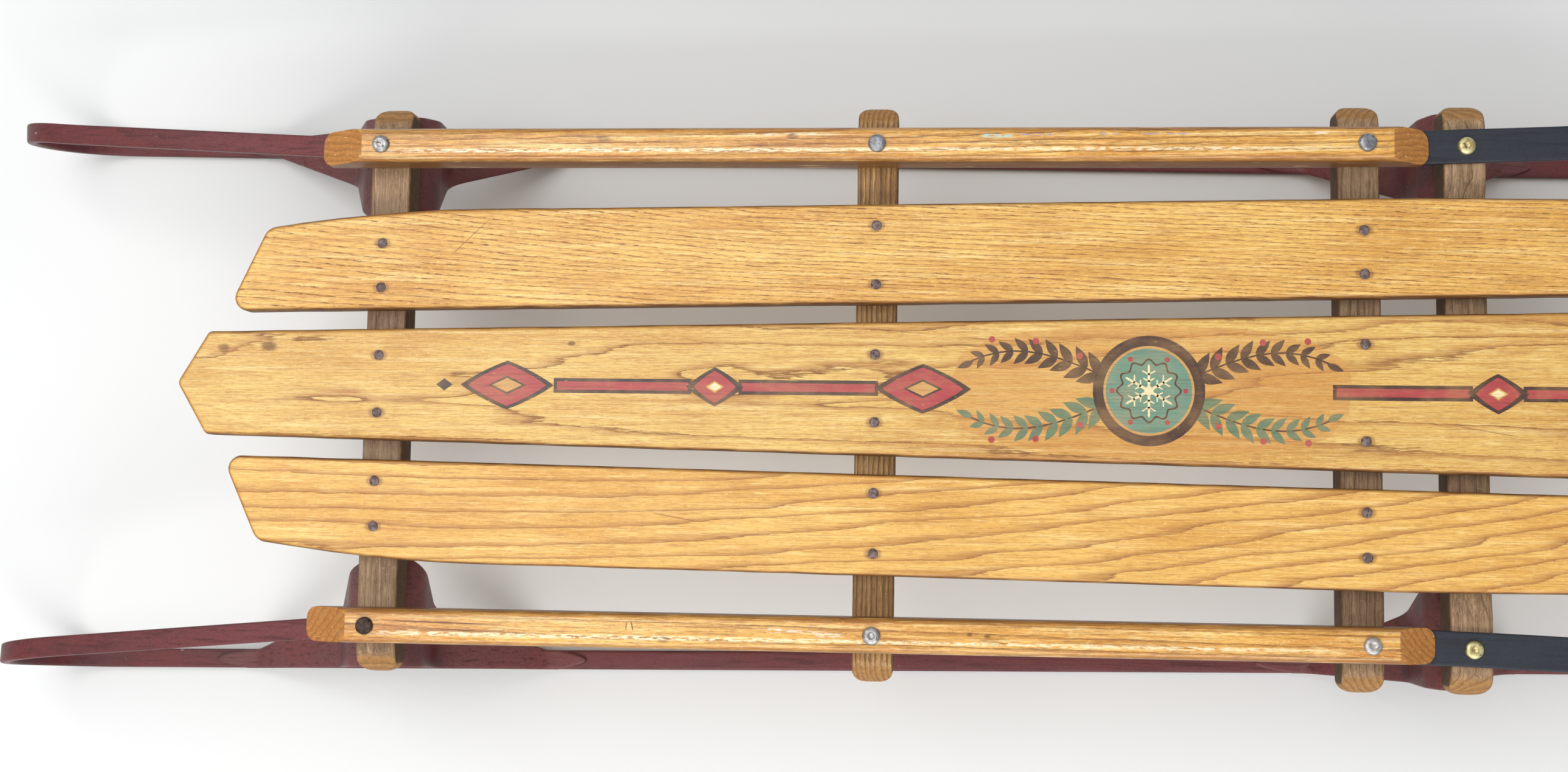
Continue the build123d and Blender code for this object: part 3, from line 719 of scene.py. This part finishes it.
def ornament():
    """Thin layers of paint: a row of striped bars and lozenges, and a round badge with a snow
    crystal between four leafy twigs."""
    sunk, lowest, step = 0.3, 0.04, 0.012
    layers = []

    def lay(shape, paint, level):
        heights = (deck_top - sunk, deck_top + lowest + step * level)
        layers.append(([[(x, y, z) for x, y in shape] for z in heights], paint))

    def lozenge(x, long, wide, paints, level):
        for k, paint in enumerate(paints):
            less = 2.4 * k
            outline = lozenge_shape(long - less * 1.9, wide - less * 0.85, 0.08)
            lay([(x + px, py) for px, py in outline], paint, level + k)

    def small(x, long, wide, paint, level):
        lay([(x + px, py) for px, py in lozenge_shape(long, wide)], paint, level)

    badge = 80.0
    for start, end in ((-268.0, -186.0), (-158.0, -76.0), (184.0, 262.0), (290.0, 368.0)):
        for half, less, paint, level in ((4.4, 0.0, "black", 1), (2.45, 2.0, "red", 2)):
            bar = [(start + less, -half), (end - less, -half), (end - less, half),
                   (start + less, half)]
            lay(bar, paint, level)
    for x in (-172.0, 276.0):
        lozenge(x, 17.0, 11.5, ("black", "red"), 3)
        small(x, 5.5, 3.6, "aged", 6)
        small(x, 4.0, 2.6, "cream", 7)
    for x in (-296.0, -50.0, 396.0):
        lozenge(x, 28.0, 14.5, ("black", "red"), 3)
        small(x, 11.5, 5.6, "black", 6)
        small(x, 9.0, 4.2, "tan", 7)
    for x in (-334.0, 434.0):
        small(x, 5.0, 3.6, "black", 3)

    lay(patch_shape(badge, 114.0, 37.5), "aged", 0)
    for way in (1, -1):
        sprig(badge, way, 1, "brown", lay)
        sprig(badge, way, -1, "green", lay)
    discs = ((32.0, 0.0, "black"), (30.4, 0.0, "brown"), (26.0, 0.0, "tan"), (24.6, 0.0, "teal"),
             (17.5, 1.4, "brown"), (16.3, 1.4, "teal"))
    for level, (radius, ripple, paint) in enumerate(discs, 7):
        lay(disc_shape(badge, 0.0, radius, 96, ripple), paint, level)
    for k in range(6):
        angle = math.pi * k / 3 + math.pi / 6
        arm = [(0.0, -0.85), (14.5, -0.6), (15.6, 0.0), (14.5, 0.6), (0.0, 0.85)]
        lay(turned_shape(arm, angle, badge, 0.0), "cream", 13)
        for reach, size in ((5.5, 3.6), (9.5, 4.4)):
            for side in (1, -1):
                twig = [(0.0, -0.5), (size, -0.35), (size, 0.35), (0.0, 0.5)]
                foot = (badge + reach * math.cos(angle), reach * math.sin(angle))
                lay(turned_shape(twig, angle + side * math.pi / 3, *foot), "cream", 13)
        lay(disc_shape(badge + 21.0 * math.cos(angle + math.pi / 6),
                       21.0 * math.sin(angle + math.pi / 6), 1.5, 16), "red", 13)
    lay(disc_shape(badge, 0.0, 2.6, 18), "cream", 14)

    shape, paints = joined(layers)
    piece = make_piece("ornament", shape, ornament_material(), "root")
    tints = piece.data.attributes.new("paint", "FLOAT_COLOR", "CORNER").data
    for polygon, paint in zip(piece.data.polygons, paints):
        for corner in polygon.loop_indices:
            tints[corner].color = rgb(*PAINTS[paint])[:3] + (OPACITY.get(paint, 0.95),)


def ornament_material():
    """Old paint that the board's own wood shows through where it is rubbed or crazed."""
    t = Tree("ornament_paint")
    wood, _, _ = wood_color(t, centre_wood)
    source = t.add("ShaderNodeAttribute", attribute_name="paint")
    paint = source.outputs["Color"]
    opacity = Num(t, source.outputs["Alpha"])
    fibre = t.noise((30.0, 0.9), 3.0, 0.6, 2.0)
    cloud = t.noise((24.0, 14.0), 3.0, 0.6, 5.0)
    craze = t.noise((3.0, 1.6), 3.0, 0.6, 9.0)
    faded = t.mix(cloud.rise(0.35, 0.70) * 0.25, paint, rgb(0.80, 0.62, 0.42))
    faded = t.mix(fibre.rise(0.48, 0.70) * 0.35, faded, rgb(0.30, 0.19, 0.15))
    rub = (craze.rise(0.66, 0.74) * 0.5).most(fibre.rise(0.66, 0.78) * 0.4)
    rub = rub.most(t.noise((40.0, 12.0), 3.0, 0.6, 13.0).rise(0.68, 0.76) * 0.6)
    color = t.mix((1.0 - rub) * opacity, wood, faded)
    roughness = cloud * 0.15 + rub * 0.1 + 0.30
    return t.finish(color, roughness, fibre * 0.4 + craze * 0.4, 0.08, coat=0.12, specular=0.3)


def revolved(x, y, profile, steps=28, wobble=0.0):
    """A turned piece about an upright line, from (radius, z) pairs, lowest first."""
    rings = []
    for radius, z in profile:
        ring = []
        for k in range(steps):
            angle = 2 * math.pi * k / steps
            way = Vector((math.cos(angle), math.sin(angle)))
            push = noise.noise(Vector((x + way.x * 2, y + way.y * 2, z * 0.8))) * wobble
            ring.append((x + way.x * (radius + push), y + way.y * (radius + push),
                         z + push * 0.5))
        rings.append(ring)
    return rings


def turned_pieces(name, turned, material, body, stands_for):
    """One mesh of several turned pieces; each is a list of rings and a material number."""
    shape, looks = joined(turned)
    piece = make_piece(name, shape, material, body, stands_for, smooth=50.0)
    piece.data.polygons.foreach_set("material_index", looks)
    return piece


def deck_nails(look):
    """The slats' nails: low domed heads with a cut edge, and a pointed shank."""
    nail_length = 26.0
    low = deck_top - nail_length
    turned = []
    for x, y in nails:
        profile = [(0.15, low), (0.75, low + 3.5), (1.45, low + 5.0), (1.45, deck_top - 1.6),
                   (2.9, deck_top - 0.4), (3.0, deck_top + 0.1), (2.8, deck_top + 0.38),
                   (2.3, deck_top + 0.58), (1.5, deck_top + 0.72), (0.5, deck_top + 0.78)]
        turned.append((revolved(x, y, profile, wobble=0.22), 0))
    turned_pieces("deck_nail_set", turned, look, "root", ["deck_nails"])


# Rivets and bolts

RIVET_SHANK = 3.15
HEAD_RADIUS = 5.2
HEAD_HEIGHT = 2.6


def rivet(x, y, seat, tail, form):
    """Rings of a rivet: its lower head, shank and round upper head."""
    profile = [(1.0, tail - 2.5), (4.2, tail - 2.4), (4.95, tail - 1.6), (4.95, tail),
               (RIVET_SHANK, tail + 0.1), (RIVET_SHANK, seat - 0.1), (HEAD_RADIUS, seat)]
    profile.append((HEAD_RADIUS, seat + 0.7))
    profile += [(HEAD_RADIUS - d * 1.3, seat + HEAD_HEIGHT - drop * 0.95)
                for d, drop in quarter(1.9, 5)[1:]]
    top = seat + HEAD_HEIGHT
    if form == "crater":
        profile += [(2.2, top), (1.7, top - 0.9), (0.5, top - 1.2)]
    elif form == "dish":
        profile += [(2.4, top), (1.8, top - 0.35), (0.5, top - 0.45)]
    else:
        profile += [(1.6, top), (0.5, top)]
    return revolved(x, y, profile, 36, wobble=0.28 if form == "rough" else 0.12)


def rail_rivets(looks):
    """Six rivets through the rails, each worn in its own way."""
    forms = {("rear", 1): ("dish", 0), ("middle", 1): ("dome", 1), ("third", 1): ("dome", 1),
             ("rear", -1): ("rough", 2), ("middle", -1): ("crater", 0),
             ("third", -1): ("dish", 3)}
    turned = []
    for (name, side), (form, look) in forms.items():
        tail = bench_low - (3.0 if name == "rear" else 0.0)
        turned.append((rivet(bench_x[name], side * rail_y, rail_high.z, tail, form), look))
    turned_pieces("rail_rivet_set", turned, looks, "root", ["rail_rivets"])


def frame_bolts(side_name, side, looks):
    """The bolts of one strap: front bench, cross tie and bumper."""
    under_knee, washer = 3.2, 0.2
    seats = [(bench_x["front"], strap_high.z, bench_low - under_knee),
             (tie_x, tie_high.z + washer, strap_low.z),
             (bumper_x, tie_high.z + washer, strap_low.z - RUNNER_THICK)]
    turned = [(rivet(x, side * strap_y(x), seat, tail, "crater" if k == 0 else "dish"), 0)
              for k, (x, seat, tail) in enumerate(seats)]
    turned_pieces(f"frame_bolt_set_{side_name}", turned, looks, f"front_{side_name}",
                  [f"frame_bolts_{side_name}"])


# Benches

def bench(name, wood):
    """A crossbar whose ends are rounded down and rounded in plan."""
    x = bench_x[name]
    half_width = (bench_span[name][1].x - bench_span[name][0].x) / 2
    end_run = 16.0
    end_height = 9.0
    corner = 7.5
    top_edge, low_edge = 1.8, 1.5
    slide_half, slide_depth = 119.0, 1.5    # the front bench is lower where it slides
    drop = bench_top - bench_low - end_height
    radius = (end_run ** 2 + drop ** 2) / (2 * drop)
    sections = []
    for y in end_stations(-bench_half, bench_half, 20.0, 12.0):
        distance = bench_half - abs(y)
        top = bench_top
        if distance < end_run:
            top -= radius - math.sqrt(radius ** 2 - (end_run - distance) ** 2)
        if name == "front" and abs(y) < slide_half:
            top -= slide_depth
        half = half_width - rounded_end(distance, corner)
        edge = min(top_edge, half / 2)
        section = bar_section(half, bench_low, top, edge, min(low_edge, edge))
        sections.append([(x - a, y, z) for a, z in section])
    make_piece(f"bench_{name}_bar", solid(sections), wood_material(f"bench_{name}", wood),
               "front_bench" if name == "front" else "root", [f"bench_{name}"])


def benches():
    # The benches' dark edge colour paints the shade on their side faces
    dull = {"bright": (0.79, 0.66, 0.51), "light": (0.67, 0.55, 0.42), "deep": (0.55, 0.44, 0.33),
            "band": (0.39, 0.28, 0.19), "pore": (0.30, 0.20, 0.11), "edge": (0.24, 0.16, 0.10),
            "end": (0.68, 0.50, 0.30), "along": "y", "gloss": 0.5, "coat": 0.05, "rim": 0.6,
            "streaks": 0.7}
    cuts = {
        "rear": Wood(pith=(-374.0, 20.0), drift=(0.02, 0.01), ring=4.0, seed=2.0, **dull),
        # Painted light: the middle bench, seen between the slats, has lighter colours than the
        # other benches to lift it out of the shade there
        "middle": Wood(pith=(-240.0, 100.0), drift=(0.01, 0.0), ring=3.0, seed=4.0, bands=0.9,
                       **dict(dull, bright=(0.87, 0.70, 0.46), light=(0.77, 0.59, 0.36),
                              deep=(0.65, 0.48, 0.28))),
        "third": Wood(pith=(120.0, 60.0), drift=(0.03, 0.0), ring=3.4, seed=6.0, **dull),
        "front": Wood(pith=(300.0, 50.0), drift=(-0.03, 0.0), ring=3.4, seed=8.0, **dull),
    }
    for name, wood in cuts.items():
        bench(name, wood)


# Rails

def rail(side_name, side, wood):
    """A rail with rounded upper edges, sloped ends and rounded noses."""
    half = (rail_high.y - rail_low.y) / 2
    rear_slope, front_slope = 28.7, 23.5
    lip, nose = 5.0, 7.0
    top_edge, low_edge = 4.5, 1.2
    strap_end, strap_gap = 11.0, 0.2
    rebate_x = bench_x["third"] - strap_end
    rebate_z = strap_high.z + strap_gap
    profile = bar_section(half, rail_low.z, rail_high.z, top_edge, low_edge, steps=6)
    sections = []
    stations = end_stations(rail_low.x, rail_high.x, rear_slope + 1.0, 14.0)
    stations += [rail_low.x + rear_slope, rail_high.x - front_slope, rebate_x, rebate_x + 0.1]
    for x in sorted(stations):
        distance = min(x - rail_low.x, rail_high.x - x)
        slope = min(1.0, (x - rail_low.x) / rear_slope, (rail_high.x - x) / front_slope)
        slope_z = rail_low.z + lip + (rail_high.z - rail_low.z - lip) * slope
        floor_z = rebate_z if x > rebate_x else rail_low.z
        width = half - rounded_end(distance, nose)
        section = []
        for across, up in profile:
            y = max(-width, min(width, across))
            z = max(floor_z, min(slope_z, up))
            section.append((x, side * rail_y + y, z))
        sections.append(section)
    make_piece(f"rail_{side_name}_bar", solid(sections), wood_material(f"rail_{side_name}", wood),
               "root", [f"rail_{side_name}"], smooth=28.0)


def rails():
    tint = {"bright": (1.0, 0.87, 0.59), "light": (0.93, 0.71, 0.36), "deep": (0.80, 0.54, 0.23),
            "band": (0.50, 0.28, 0.11), "pore": (0.33, 0.18, 0.09), "edge": (0.38, 0.22, 0.09),
            "end": (0.71, 0.46, 0.20), "gloss": 0.22, "coat": 0.35, "streaks": 0.9,
            "mottle": 0.7, "fine": 0.6, "worn": 1.0, "rim": 0.65}
    aqua, lilac, cream = (0.68, 0.82, 0.80), (0.58, 0.57, 0.68), (0.90, 0.87, 0.78)
    # Painted highlight: long cream streaks along the −Y part of each rail's top stand in for the
    # window light's reflection on the varnish
    painted_highlight = (1.0, 0.95, 0.80)
    left = Wood(pith=(118.0, 150.0), drift=(0.012, 0.006), ring=3.4, wander=9.0, seed=12.0,
                spots=[(-128.0, 147.5, 2.2, 0.55), (-240.0, 146.0, 2.6, 0.45)],
                paint=[((-400.0, 139.0), (-60.0, 139.4), 1.7, painted_highlight, 0.75),
                       ((-170.0, 139.4), (230.0, 140.0), 1.5, painted_highlight, 0.65),
                       ((-19.0, 147.6), (5.0, 147.2), 1.5, aqua, 0.95),
                       ((0.0, 148.3), (34.0, 148.2), 0.9, lilac, 0.85),
                       ((48.0, 148.3), (64.0, 148.0), 1.1, lilac, 0.8),
                       ((70.0, 148.6), (110.0, 148.4), 0.7, lilac, 0.7),
                       ((-164.0, 148.5), (-96.0, 148.8), 1.0, cream, 0.75),
                       ((172.0, 148.6), (182.0, 149.2), 0.9, cream, 0.9)], **tint)
    right = Wood(pith=(-120.0, 120.0), drift=(0.010, 0.012), ring=3.0, wander=8.0, seed=15.0,
                 spots=[(-198.0, -147.0, 2.6, 0.5), (-12.0, -142.0, 1.3, 0.7),
                        (-22.0, -141.2, 1.1, 0.7)],
                 scratches=[((-217.0, -137.0), (-215.5, -143.5), 0.5, 0.9),
                            ((-219.5, -137.6), (-220.0, -143.2), 0.4, 0.8),
                            ((-366.0, -139.6), (-290.0, -141.0), 0.5, 1.0)],
                 paint=[((-400.0, -146.8), (-60.0, -146.6), 1.7, painted_highlight, 0.75),
                        ((-170.0, -146.6), (230.0, -146.4), 1.5, painted_highlight, 0.65),
                        ((-138.0, -140.8), (-128.0, -141.2), 1.7, cream, 1.0),
                        ((-132.0, -141.0), (-98.0, -142.0), 1.1, cream, 0.75),
                        ((-112.0, -143.4), (-92.0, -143.0), 1.6, cream, 0.8)], **tint)
    for (side_name, side), wood in zip(SIDES, (left, right)):
        rail(side_name, side, wood)


# Runners

RUNNER_WIDTH = 12.5
RUNNER_THICK = 6.0
TOE = math.tan(math.radians(0.95))
REF_X = -560.0
REF_Y = bench_half + 4.5


def runner_y(x):
    """Distance of the runner's middle line from the sled's middle."""
    return REF_Y - TOE * (x - REF_X)


NOSE_RADIUS = 35.0
LOOP_RADIUS = 49.0
LOOP_FLARE = 0.0925     # the loop's upper member runs out to the side by this share
LOOP_LEAN = 0.088       # and its band leans by this share, which grows over LEAN_RUN
LEAN_START, LEAN_RUN = -440.0, 150.0
LOOP_END = 30.0         # how far ahead of the rear bench's line the upper member may reach
nose_centre_x = nose_high.x - RUNNER_THICK / 2 - NOSE_RADIUS
bumper_x = nose_centre_x - 9.5
hinge_x = bench_x["third"]
strap_slope = (runner_y(nose_centre_x) - rail_y) / (nose_centre_x - hinge_x)


def strap_y(x):
    """Distance of a strap's middle line from the sled's middle."""
    return rail_y + strap_slope * (x - hinge_x)


def arc_points(centre, radius, start, end, steps):
    """Points (x, z) on an arc between two angles in degrees, both ends included."""
    angles = [math.radians(start + (end - start) * k / steps) for k in range(steps + 1)]
    return [(centre[0] + radius * math.cos(a), centre[1] + radius * math.sin(a)) for a in angles]


def runner_line():
    """Middle line (x, z) of the band, from the rear bench round the loop to the nose's tail."""
    bend_lead, bend_radius = 1.0, 60.0
    rise_radius = 200.0
    upper_end, tail = 12.0, 53.0
    half = RUNNER_THICK / 2
    tip_x = rear_low.x + half
    level = rear_high.z - half
    centre = (tip_x + LOOP_RADIUS, half + LOOP_RADIUS)
    bend = (rail_low.x + bend_lead, level)
    away = (bend[0] - centre[0], bend[1] - centre[1])
    leave = math.atan2(away[1], away[0]) + math.acos(LOOP_RADIUS / math.hypot(*away))
    leave_point = (centre[0] + LOOP_RADIUS * math.cos(leave),
                   centre[1] + LOOP_RADIUS * math.sin(leave))
    way = Vector((bend[0] - leave_point[0], bend[1] - leave_point[1]))
    rise_angle = math.atan2(way.y, way.x)
    back = bend_radius * math.tan(rise_angle / 2)
    end_x = bench_x["rear"] + upper_end
    line = [(end_x, level)]
    line += [(bend[0] + back - (bend[0] + back - end_x) * k / 6, level) for k in (5, 4, 3, 2, 1)]
    line += arc_points((bend[0] + back, level - bend_radius), bend_radius, 90,
                       90 + math.degrees(rise_angle), 6)
    start = Vector(line[-1])
    line += [tuple(start.lerp(Vector(leave_point), k / 16)) for k in range(1, 16)]
    line += arc_points(centre, LOOP_RADIUS, math.degrees(leave), 270, 36)
    nose_level = strap_low.z - half
    nose_centre = (nose_centre_x, nose_level - NOSE_RADIUS)
    reach = rise_radius - NOSE_RADIUS
    rise_z = half + rise_radius
    rise_x = nose_centre[0] - math.sqrt(reach ** 2 - (rise_z - nose_centre[1]) ** 2)
    floor_start = line[-1][0]
    steps = 90
    line += [(floor_start + (rise_x - floor_start) * k / steps, half) for k in range(1, steps)]
    meet = math.degrees(math.atan2(nose_centre[1] - rise_z, nose_centre[0] - rise_x))
    line += arc_points((rise_x, rise_z), rise_radius, -90, meet, 20)[:-1]
    line += arc_points(nose_centre, NOSE_RADIUS, meet, 90, 26)
    line += [(nose_centre[0] - tail * k / 6, nose_level) for k in range(1, 7)]
    return line


def runner(side_name, side, paint):
    """One runner as a single steel band."""
    line = runner_line()
    half = RUNNER_THICK / 2
    loop_top = half + 2 * LOOP_RADIUS
    round_radius = 1.5
    profile = bar_section(RUNNER_WIDTH / 2, -half, half, round_radius, round_radius)
    path = []
    for x, z in line:
        if x < bench_x["rear"] + LOOP_END:
            share = max(0.0, min(1.0, (z - half) / (loop_top - half)))
            upper = rail_y + LOOP_FLARE * (bench_x["rear"] - x)
            y = runner_y(x) + (upper - runner_y(x)) * share
        else:
            y = runner_y(x)
        path.append(Vector((x, y, z)))
    tread, rings = [], []
    count = len(path)
    for i, place in enumerate(path):
        way = (path[min(count - 1, i + 1)] - path[max(0, i - 1)]).normalized()
        lean = LOOP_LEAN * max(0.0, min(1.0, (LEAN_START - place.x) / LEAN_RUN))
        across = Vector((0.0, 1.0, lean))
        across = (across - way * across.dot(way)).normalized()
        inward = way.cross(across).normalized()
        ring = []
        for a, b in profile:
            p = place + across * a + inward * b
            ring.append((p.x, side * p.y, max(0.0, p.z)))
            tread.append(1.0 if b < 0 else 0.0)
        rings.append(ring)
    points, faces = solid(rings, flipped=side < 0)
    piece = make_piece(f"runner_{side_name}", (points, faces), paint, None,
                       [f"runner_rear_{side_name}", f"runner_front_{side_name}"])
    mesh = piece.data
    mesh.attributes.new("tread", "FLOAT", "POINT").data.foreach_set("value", tread)
    rest = mesh.attributes.new("rest_place", "FLOAT_VECTOR", "POINT")
    rest.data.foreach_set("vector", [c for p in points for c in p])
    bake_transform(piece)


# Knees: bent steel sheets that stand on the runner and widen up to the bench

KNEE_WALL = 2.2
KNEE_TOE = 2.5
KNEE_OUTER, KNEE_INNER = bench_half - 1.5, 102.0
KNEE_CROWN = 11.5
KNEE_SHOULDER = 16.0
POINT_SHARE = 0.75      # how much of a foot tapers to its point
KNEE_BENDS = {"landing": 10.0, "hip": 22.0, "neck": 24.0, "crown": 8.0}
# Each flank's reach from the bench's line: its neck, its hip and the hip's height, where its
# slope lands on the foot, and the foot's end
KNEE_FLANKS = {
    "rear": ((29.0, 47.5, 61.0, 122.0, 150.0), (19.5, 12.8, 57.0, 77.0, 102.0)),
    "front": ((17.5, 18.0, 68.0, 66.0, 98.0), (14.5, 15.0, 54.0, 60.0, 80.0)),
}


def rounded_line(corners, steps=6):
    """Points along an open line whose corners (x, z, radius) are rounded."""
    points = [Vector(corners[0][:2])]
    for before, (x, z, radius), after in zip(corners, corners[1:], corners[2:]):
        corner = Vector((x, z))
        if not radius:
            points.append(corner)
            continue
        back = (Vector(before[:2]) - corner).normalized()
        ahead = (Vector(after[:2]) - corner).normalized()
        cut = radius * math.tan((math.pi - back.angle(ahead)) / 2)
        start, end = corner + back * cut, corner + ahead * cut
        for k in range(steps + 1):
            s = k / steps
            points.append(start * (1 - s) ** 2 + corner * (2 * s * (1 - s)) + end * s ** 2)
    points.append(Vector(corners[-1][:2]))
    return points


def knee(name, side_name, side, top, paint):
    """One knee: a sheet bent down from under its bench to two pointed feet on the runner."""
    x = bench_x[name]
    y = runner_y(x)
    half = RUNNER_WIDTH / 2
    toe_z = RUNNER_THICK + KNEE_TOE
    tips = []
    corners = []
    for way, (neck, hip, hip_z, landing, foot_end) in zip((-1, 1), KNEE_FLANKS[name]):
        point = POINT_SHARE * (foot_end - landing)
        tips.append((way * foot_end, point))
        flank = [(foot_end - point * share, toe_z, 0.0)
                 for share in (0.0, 0.03, 0.1, 0.22, 0.4, 0.65, 1.0)]
        flank += [(landing, toe_z, KNEE_BENDS["landing"]), (hip, hip_z, KNEE_BENDS["hip"]),
                  (neck, top - KNEE_SHOULDER, KNEE_BENDS["neck"]),
                  (KNEE_CROWN, top, KNEE_BENDS["crown"])]
        flank = [(way * reach, z, radius) for reach, z, radius in flank]
        corners += flank if way < 0 else reversed(flank)
    line = rounded_line(corners)
    rims = [math.radians(a) for a in (60, 30, 0, -30, -60)]
    rings = []
    for k, spot in enumerate(line):
        along = (line[min(k + 1, len(line) - 1)] - line[max(k - 1, 0)]).normalized()
        up = Vector((-along.y, along.x))
        thick = KNEE_TOE if spot.y < toe_z + 1.0 else KNEE_WALL
        foot = RUNNER_THICK + KNEE_WALL
        share = max(0.0, (spot.y - foot) / (top - foot))
        inner = (y - half) * (1 - share) + KNEE_INNER * share
        outer = (y + half) * (1 - share) + KNEE_OUTER * share
        near = min(1.0, *(max(0.002, abs(tip - spot.x)) / point for tip, point in tips))
        middle = (inner + outer) / 2
        width = (outer - inner) / 2 * math.sqrt(near)
        roll = min(thick / 2, width * 0.8)
        flat = [middle + (width - roll) * (i / 4 - 1) for i in range(9)]
        section = [(across, 0.0) for across in flat]
        section += [(flat[-1] + roll * math.cos(a), thick / 2 * (1 - math.sin(a))) for a in rims]
        section += [(across, thick) for across in reversed(flat)]
        section += [(flat[0] - roll * math.cos(a), thick / 2 * (1 + math.sin(a))) for a in rims]
        rings.append([(x + spot.x - up.x * depth, side * (across - TOE * spot.x),
                       spot.y - up.y * depth) for across, depth in section])
    node = f"knee_{name}"
    make_piece(f"{node}_sheet_{side_name}", solid(rings, flipped=side > 0), paint,
               "root" if name == "rear" else f"front_{side_name}",
               [f"{node}_{side_name}"])


# Straps

def strap(side_name, side, paint):
    """A flat strap with worn round edges, straight from the rail's rivet to the nose."""
    half = (strap_high.z - strap_low.z) / 2
    radius = 10.0
    turn = math.atan(strap_slope)
    outline = []
    for x, start in ((hinge_x, 90), (nose_centre_x, -90)):
        for k in range(15):
            angle = turn + math.radians(start + 180 * k / 14)
            outline.append((x + radius * math.cos(angle), strap_y(x) + radius * math.sin(angle)))
    shape = [Vector(p) for p in outline]
    if side < 0:
        shape = [Vector((p.x, -p.y)) for p in reversed(shape)]
    dense = []
    for i, point in enumerate(shape):
        after = shape[(i + 1) % len(shape)]
        steps = max(1, int((after - point).length / 10.0))
        dense += [point.lerp(after, k / steps) for k in range(steps)]
    bar = board_mesh(dense, strap_low.z, strap_high.z, half * 0.5, half * 0.7, waver=0.3)
    make_piece(f"strap_bar_{side_name}", bar, paint, f"front_{side_name}",
               [f"strap_{side_name}"])


# Stage, light and camera

def stage():
    t = Tree("floor")
    cloud = t.noise((400.0, 400.0), 3.0)
    shade = t.mix(cloud * 0.5, rgb(0.90, 0.90, 0.89), rgb(0.87, 0.87, 0.87))
    material = t.finish(shade, 0.9)
    size = 6000.0
    corners = [(-size, -size, 0), (size, -size, 0), (size, size, 0), (-size, size, 0)]
    floor = make_piece("floor", (corners, [(0, 1, 2, 3)]), material)


def area_light(name, place, aim, size, power, color=(1, 1, 1)):
    data = bpy.data.lights.new(name, "AREA")
    data.shape = "RECTANGLE"
    data.size, data.size_y = size
    data.energy = power
    data.color = color
    lamp = bpy.data.objects.new(name, data)
    lamp.location = place
    lamp.rotation_euler = (Vector(aim) - Vector(place)).to_track_quat("-Z", "Y").to_euler()
    bpy.context.scene.collection.objects.link(lamp)


def lights():
    world = bpy.data.worlds.new("world")
    bpy.context.scene.world = world
    world.use_nodes = True
    background = world.node_tree.nodes["Background"]
    background.inputs[0].default_value = (0.93, 0.96, 1.0, 1.0)
    background.inputs[1].default_value = 0.55
    area_light("window", (-0.1, -2.6, 2.3), (-0.1, 0, 0.1), (3.0, 1.2), 70)
    area_light("ceiling", (-1.2, 0.5, 2.8), (-0.3, 0, 0), (2.2, 2.0), 46)


def camera():
    """The place and turn that were fitted to the photograph, in metres and radians."""
    data = bpy.data.cameras.new("camera")
    data.sensor_width = 36.0
    data.lens = 41.93
    view = bpy.data.objects.new("camera", data)
    view.location = (-0.0441, -0.0875, 1.2194)
    view.rotation_euler = (0.083947, 0.080346, 0.016043)
    bpy.context.scene.collection.objects.link(view)
    bpy.context.scene.camera = view


red = {"base": (0.39, 0.11, 0.10), "deep": (0.25, 0.055, 0.06), "dust_and_sheen": (0.49, 0.25, 0.26)}
runner_paint = enamel("runner_enamel", rest_attribute=True, tread=True, **red)
knee_red = {"base": (0.41, 0.12, 0.11), "deep": (0.26, 0.06, 0.06), "dust_and_sheen": (0.51, 0.32, 0.31)}
red_paint = enamel("red_enamel", **knee_red)
black_paint = enamel("black_enamel", (0.15, 0.17, 0.20), (0.11, 0.12, 0.15), (0.26, 0.29, 0.33))
strap_paint = enamel("strap_enamel", (0.10, 0.115, 0.15), (0.07, 0.08, 0.105), (0.17, 0.19, 0.23),
                     worn=(0.55, 0.57, 0.58), wear=1.0)
zinc = worn_metal("zinc", (0.80, 0.79, 0.78), (0.55, 0.54, 0.53), (0.30, 0.26, 0.25))
grey_zinc = worn_metal("grey_zinc", (0.66, 0.66, 0.67), (0.48, 0.48, 0.50), (0.32, 0.30, 0.31))
pale_zinc = worn_metal("pale_zinc", (0.84, 0.82, 0.79), (0.64, 0.62, 0.60), (0.34, 0.30, 0.28))
rusty = worn_metal("rusty_steel", (0.34, 0.27, 0.24), (0.22, 0.15, 0.12), (0.12, 0.08, 0.07),
                   0.55, 1.6, 0.5)
yellow_zinc = worn_metal("yellow_zinc", (0.93, 0.89, 0.68), (0.70, 0.64, 0.44),
                         (0.24, 0.20, 0.15))
dark_steel = worn_metal("dark_steel", (0.52, 0.45, 0.43), (0.34, 0.27, 0.26), (0.20, 0.15, 0.14),
                        0.45, 1.0, 0.4)
bar_wood = Wood(pith=(430.0, 60.0), drift=(0.01, 0.01), ring=4.2, wander=8.0, along="y",
                seed=21.0, gloss=0.24, light=(0.86, 0.62, 0.35), deep=(0.74, 0.50, 0.26),
                band=(0.52, 0.32, 0.16), edge=(0.50, 0.31, 0.15))

slats()
ornament()
deck_nails(dark_steel)
benches()
rails()
rail_rivets([zinc, grey_zinc, rusty, pale_zinc])
for side_name, side in SIDES:
    runner(side_name, side, runner_paint)
    knee("rear", side_name, side, bench_low, red_paint)
    knee("front", side_name, side, bench_low - 0.2, red_paint)
    strap(side_name, side, strap_paint)
    frame_bolts(side_name, side, yellow_zinc)

CAD_LOOKS = {
    "cross_tie": black_paint, "bumper": black_paint, "steering_plate": black_paint,
    "steering_disc": zinc, "steering_bolt": zinc,
    "steering_bar": wood_material("steering_bar", bar_wood),
}
for node_name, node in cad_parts.items():
    for start, look in CAD_LOOKS.items():
        if node_name.startswith(start):
            node.data.materials.clear()
            node.data.materials.append(look)

stage()
lights()
camera()
bpy.context.scene.view_settings.view_transform = "Standard"
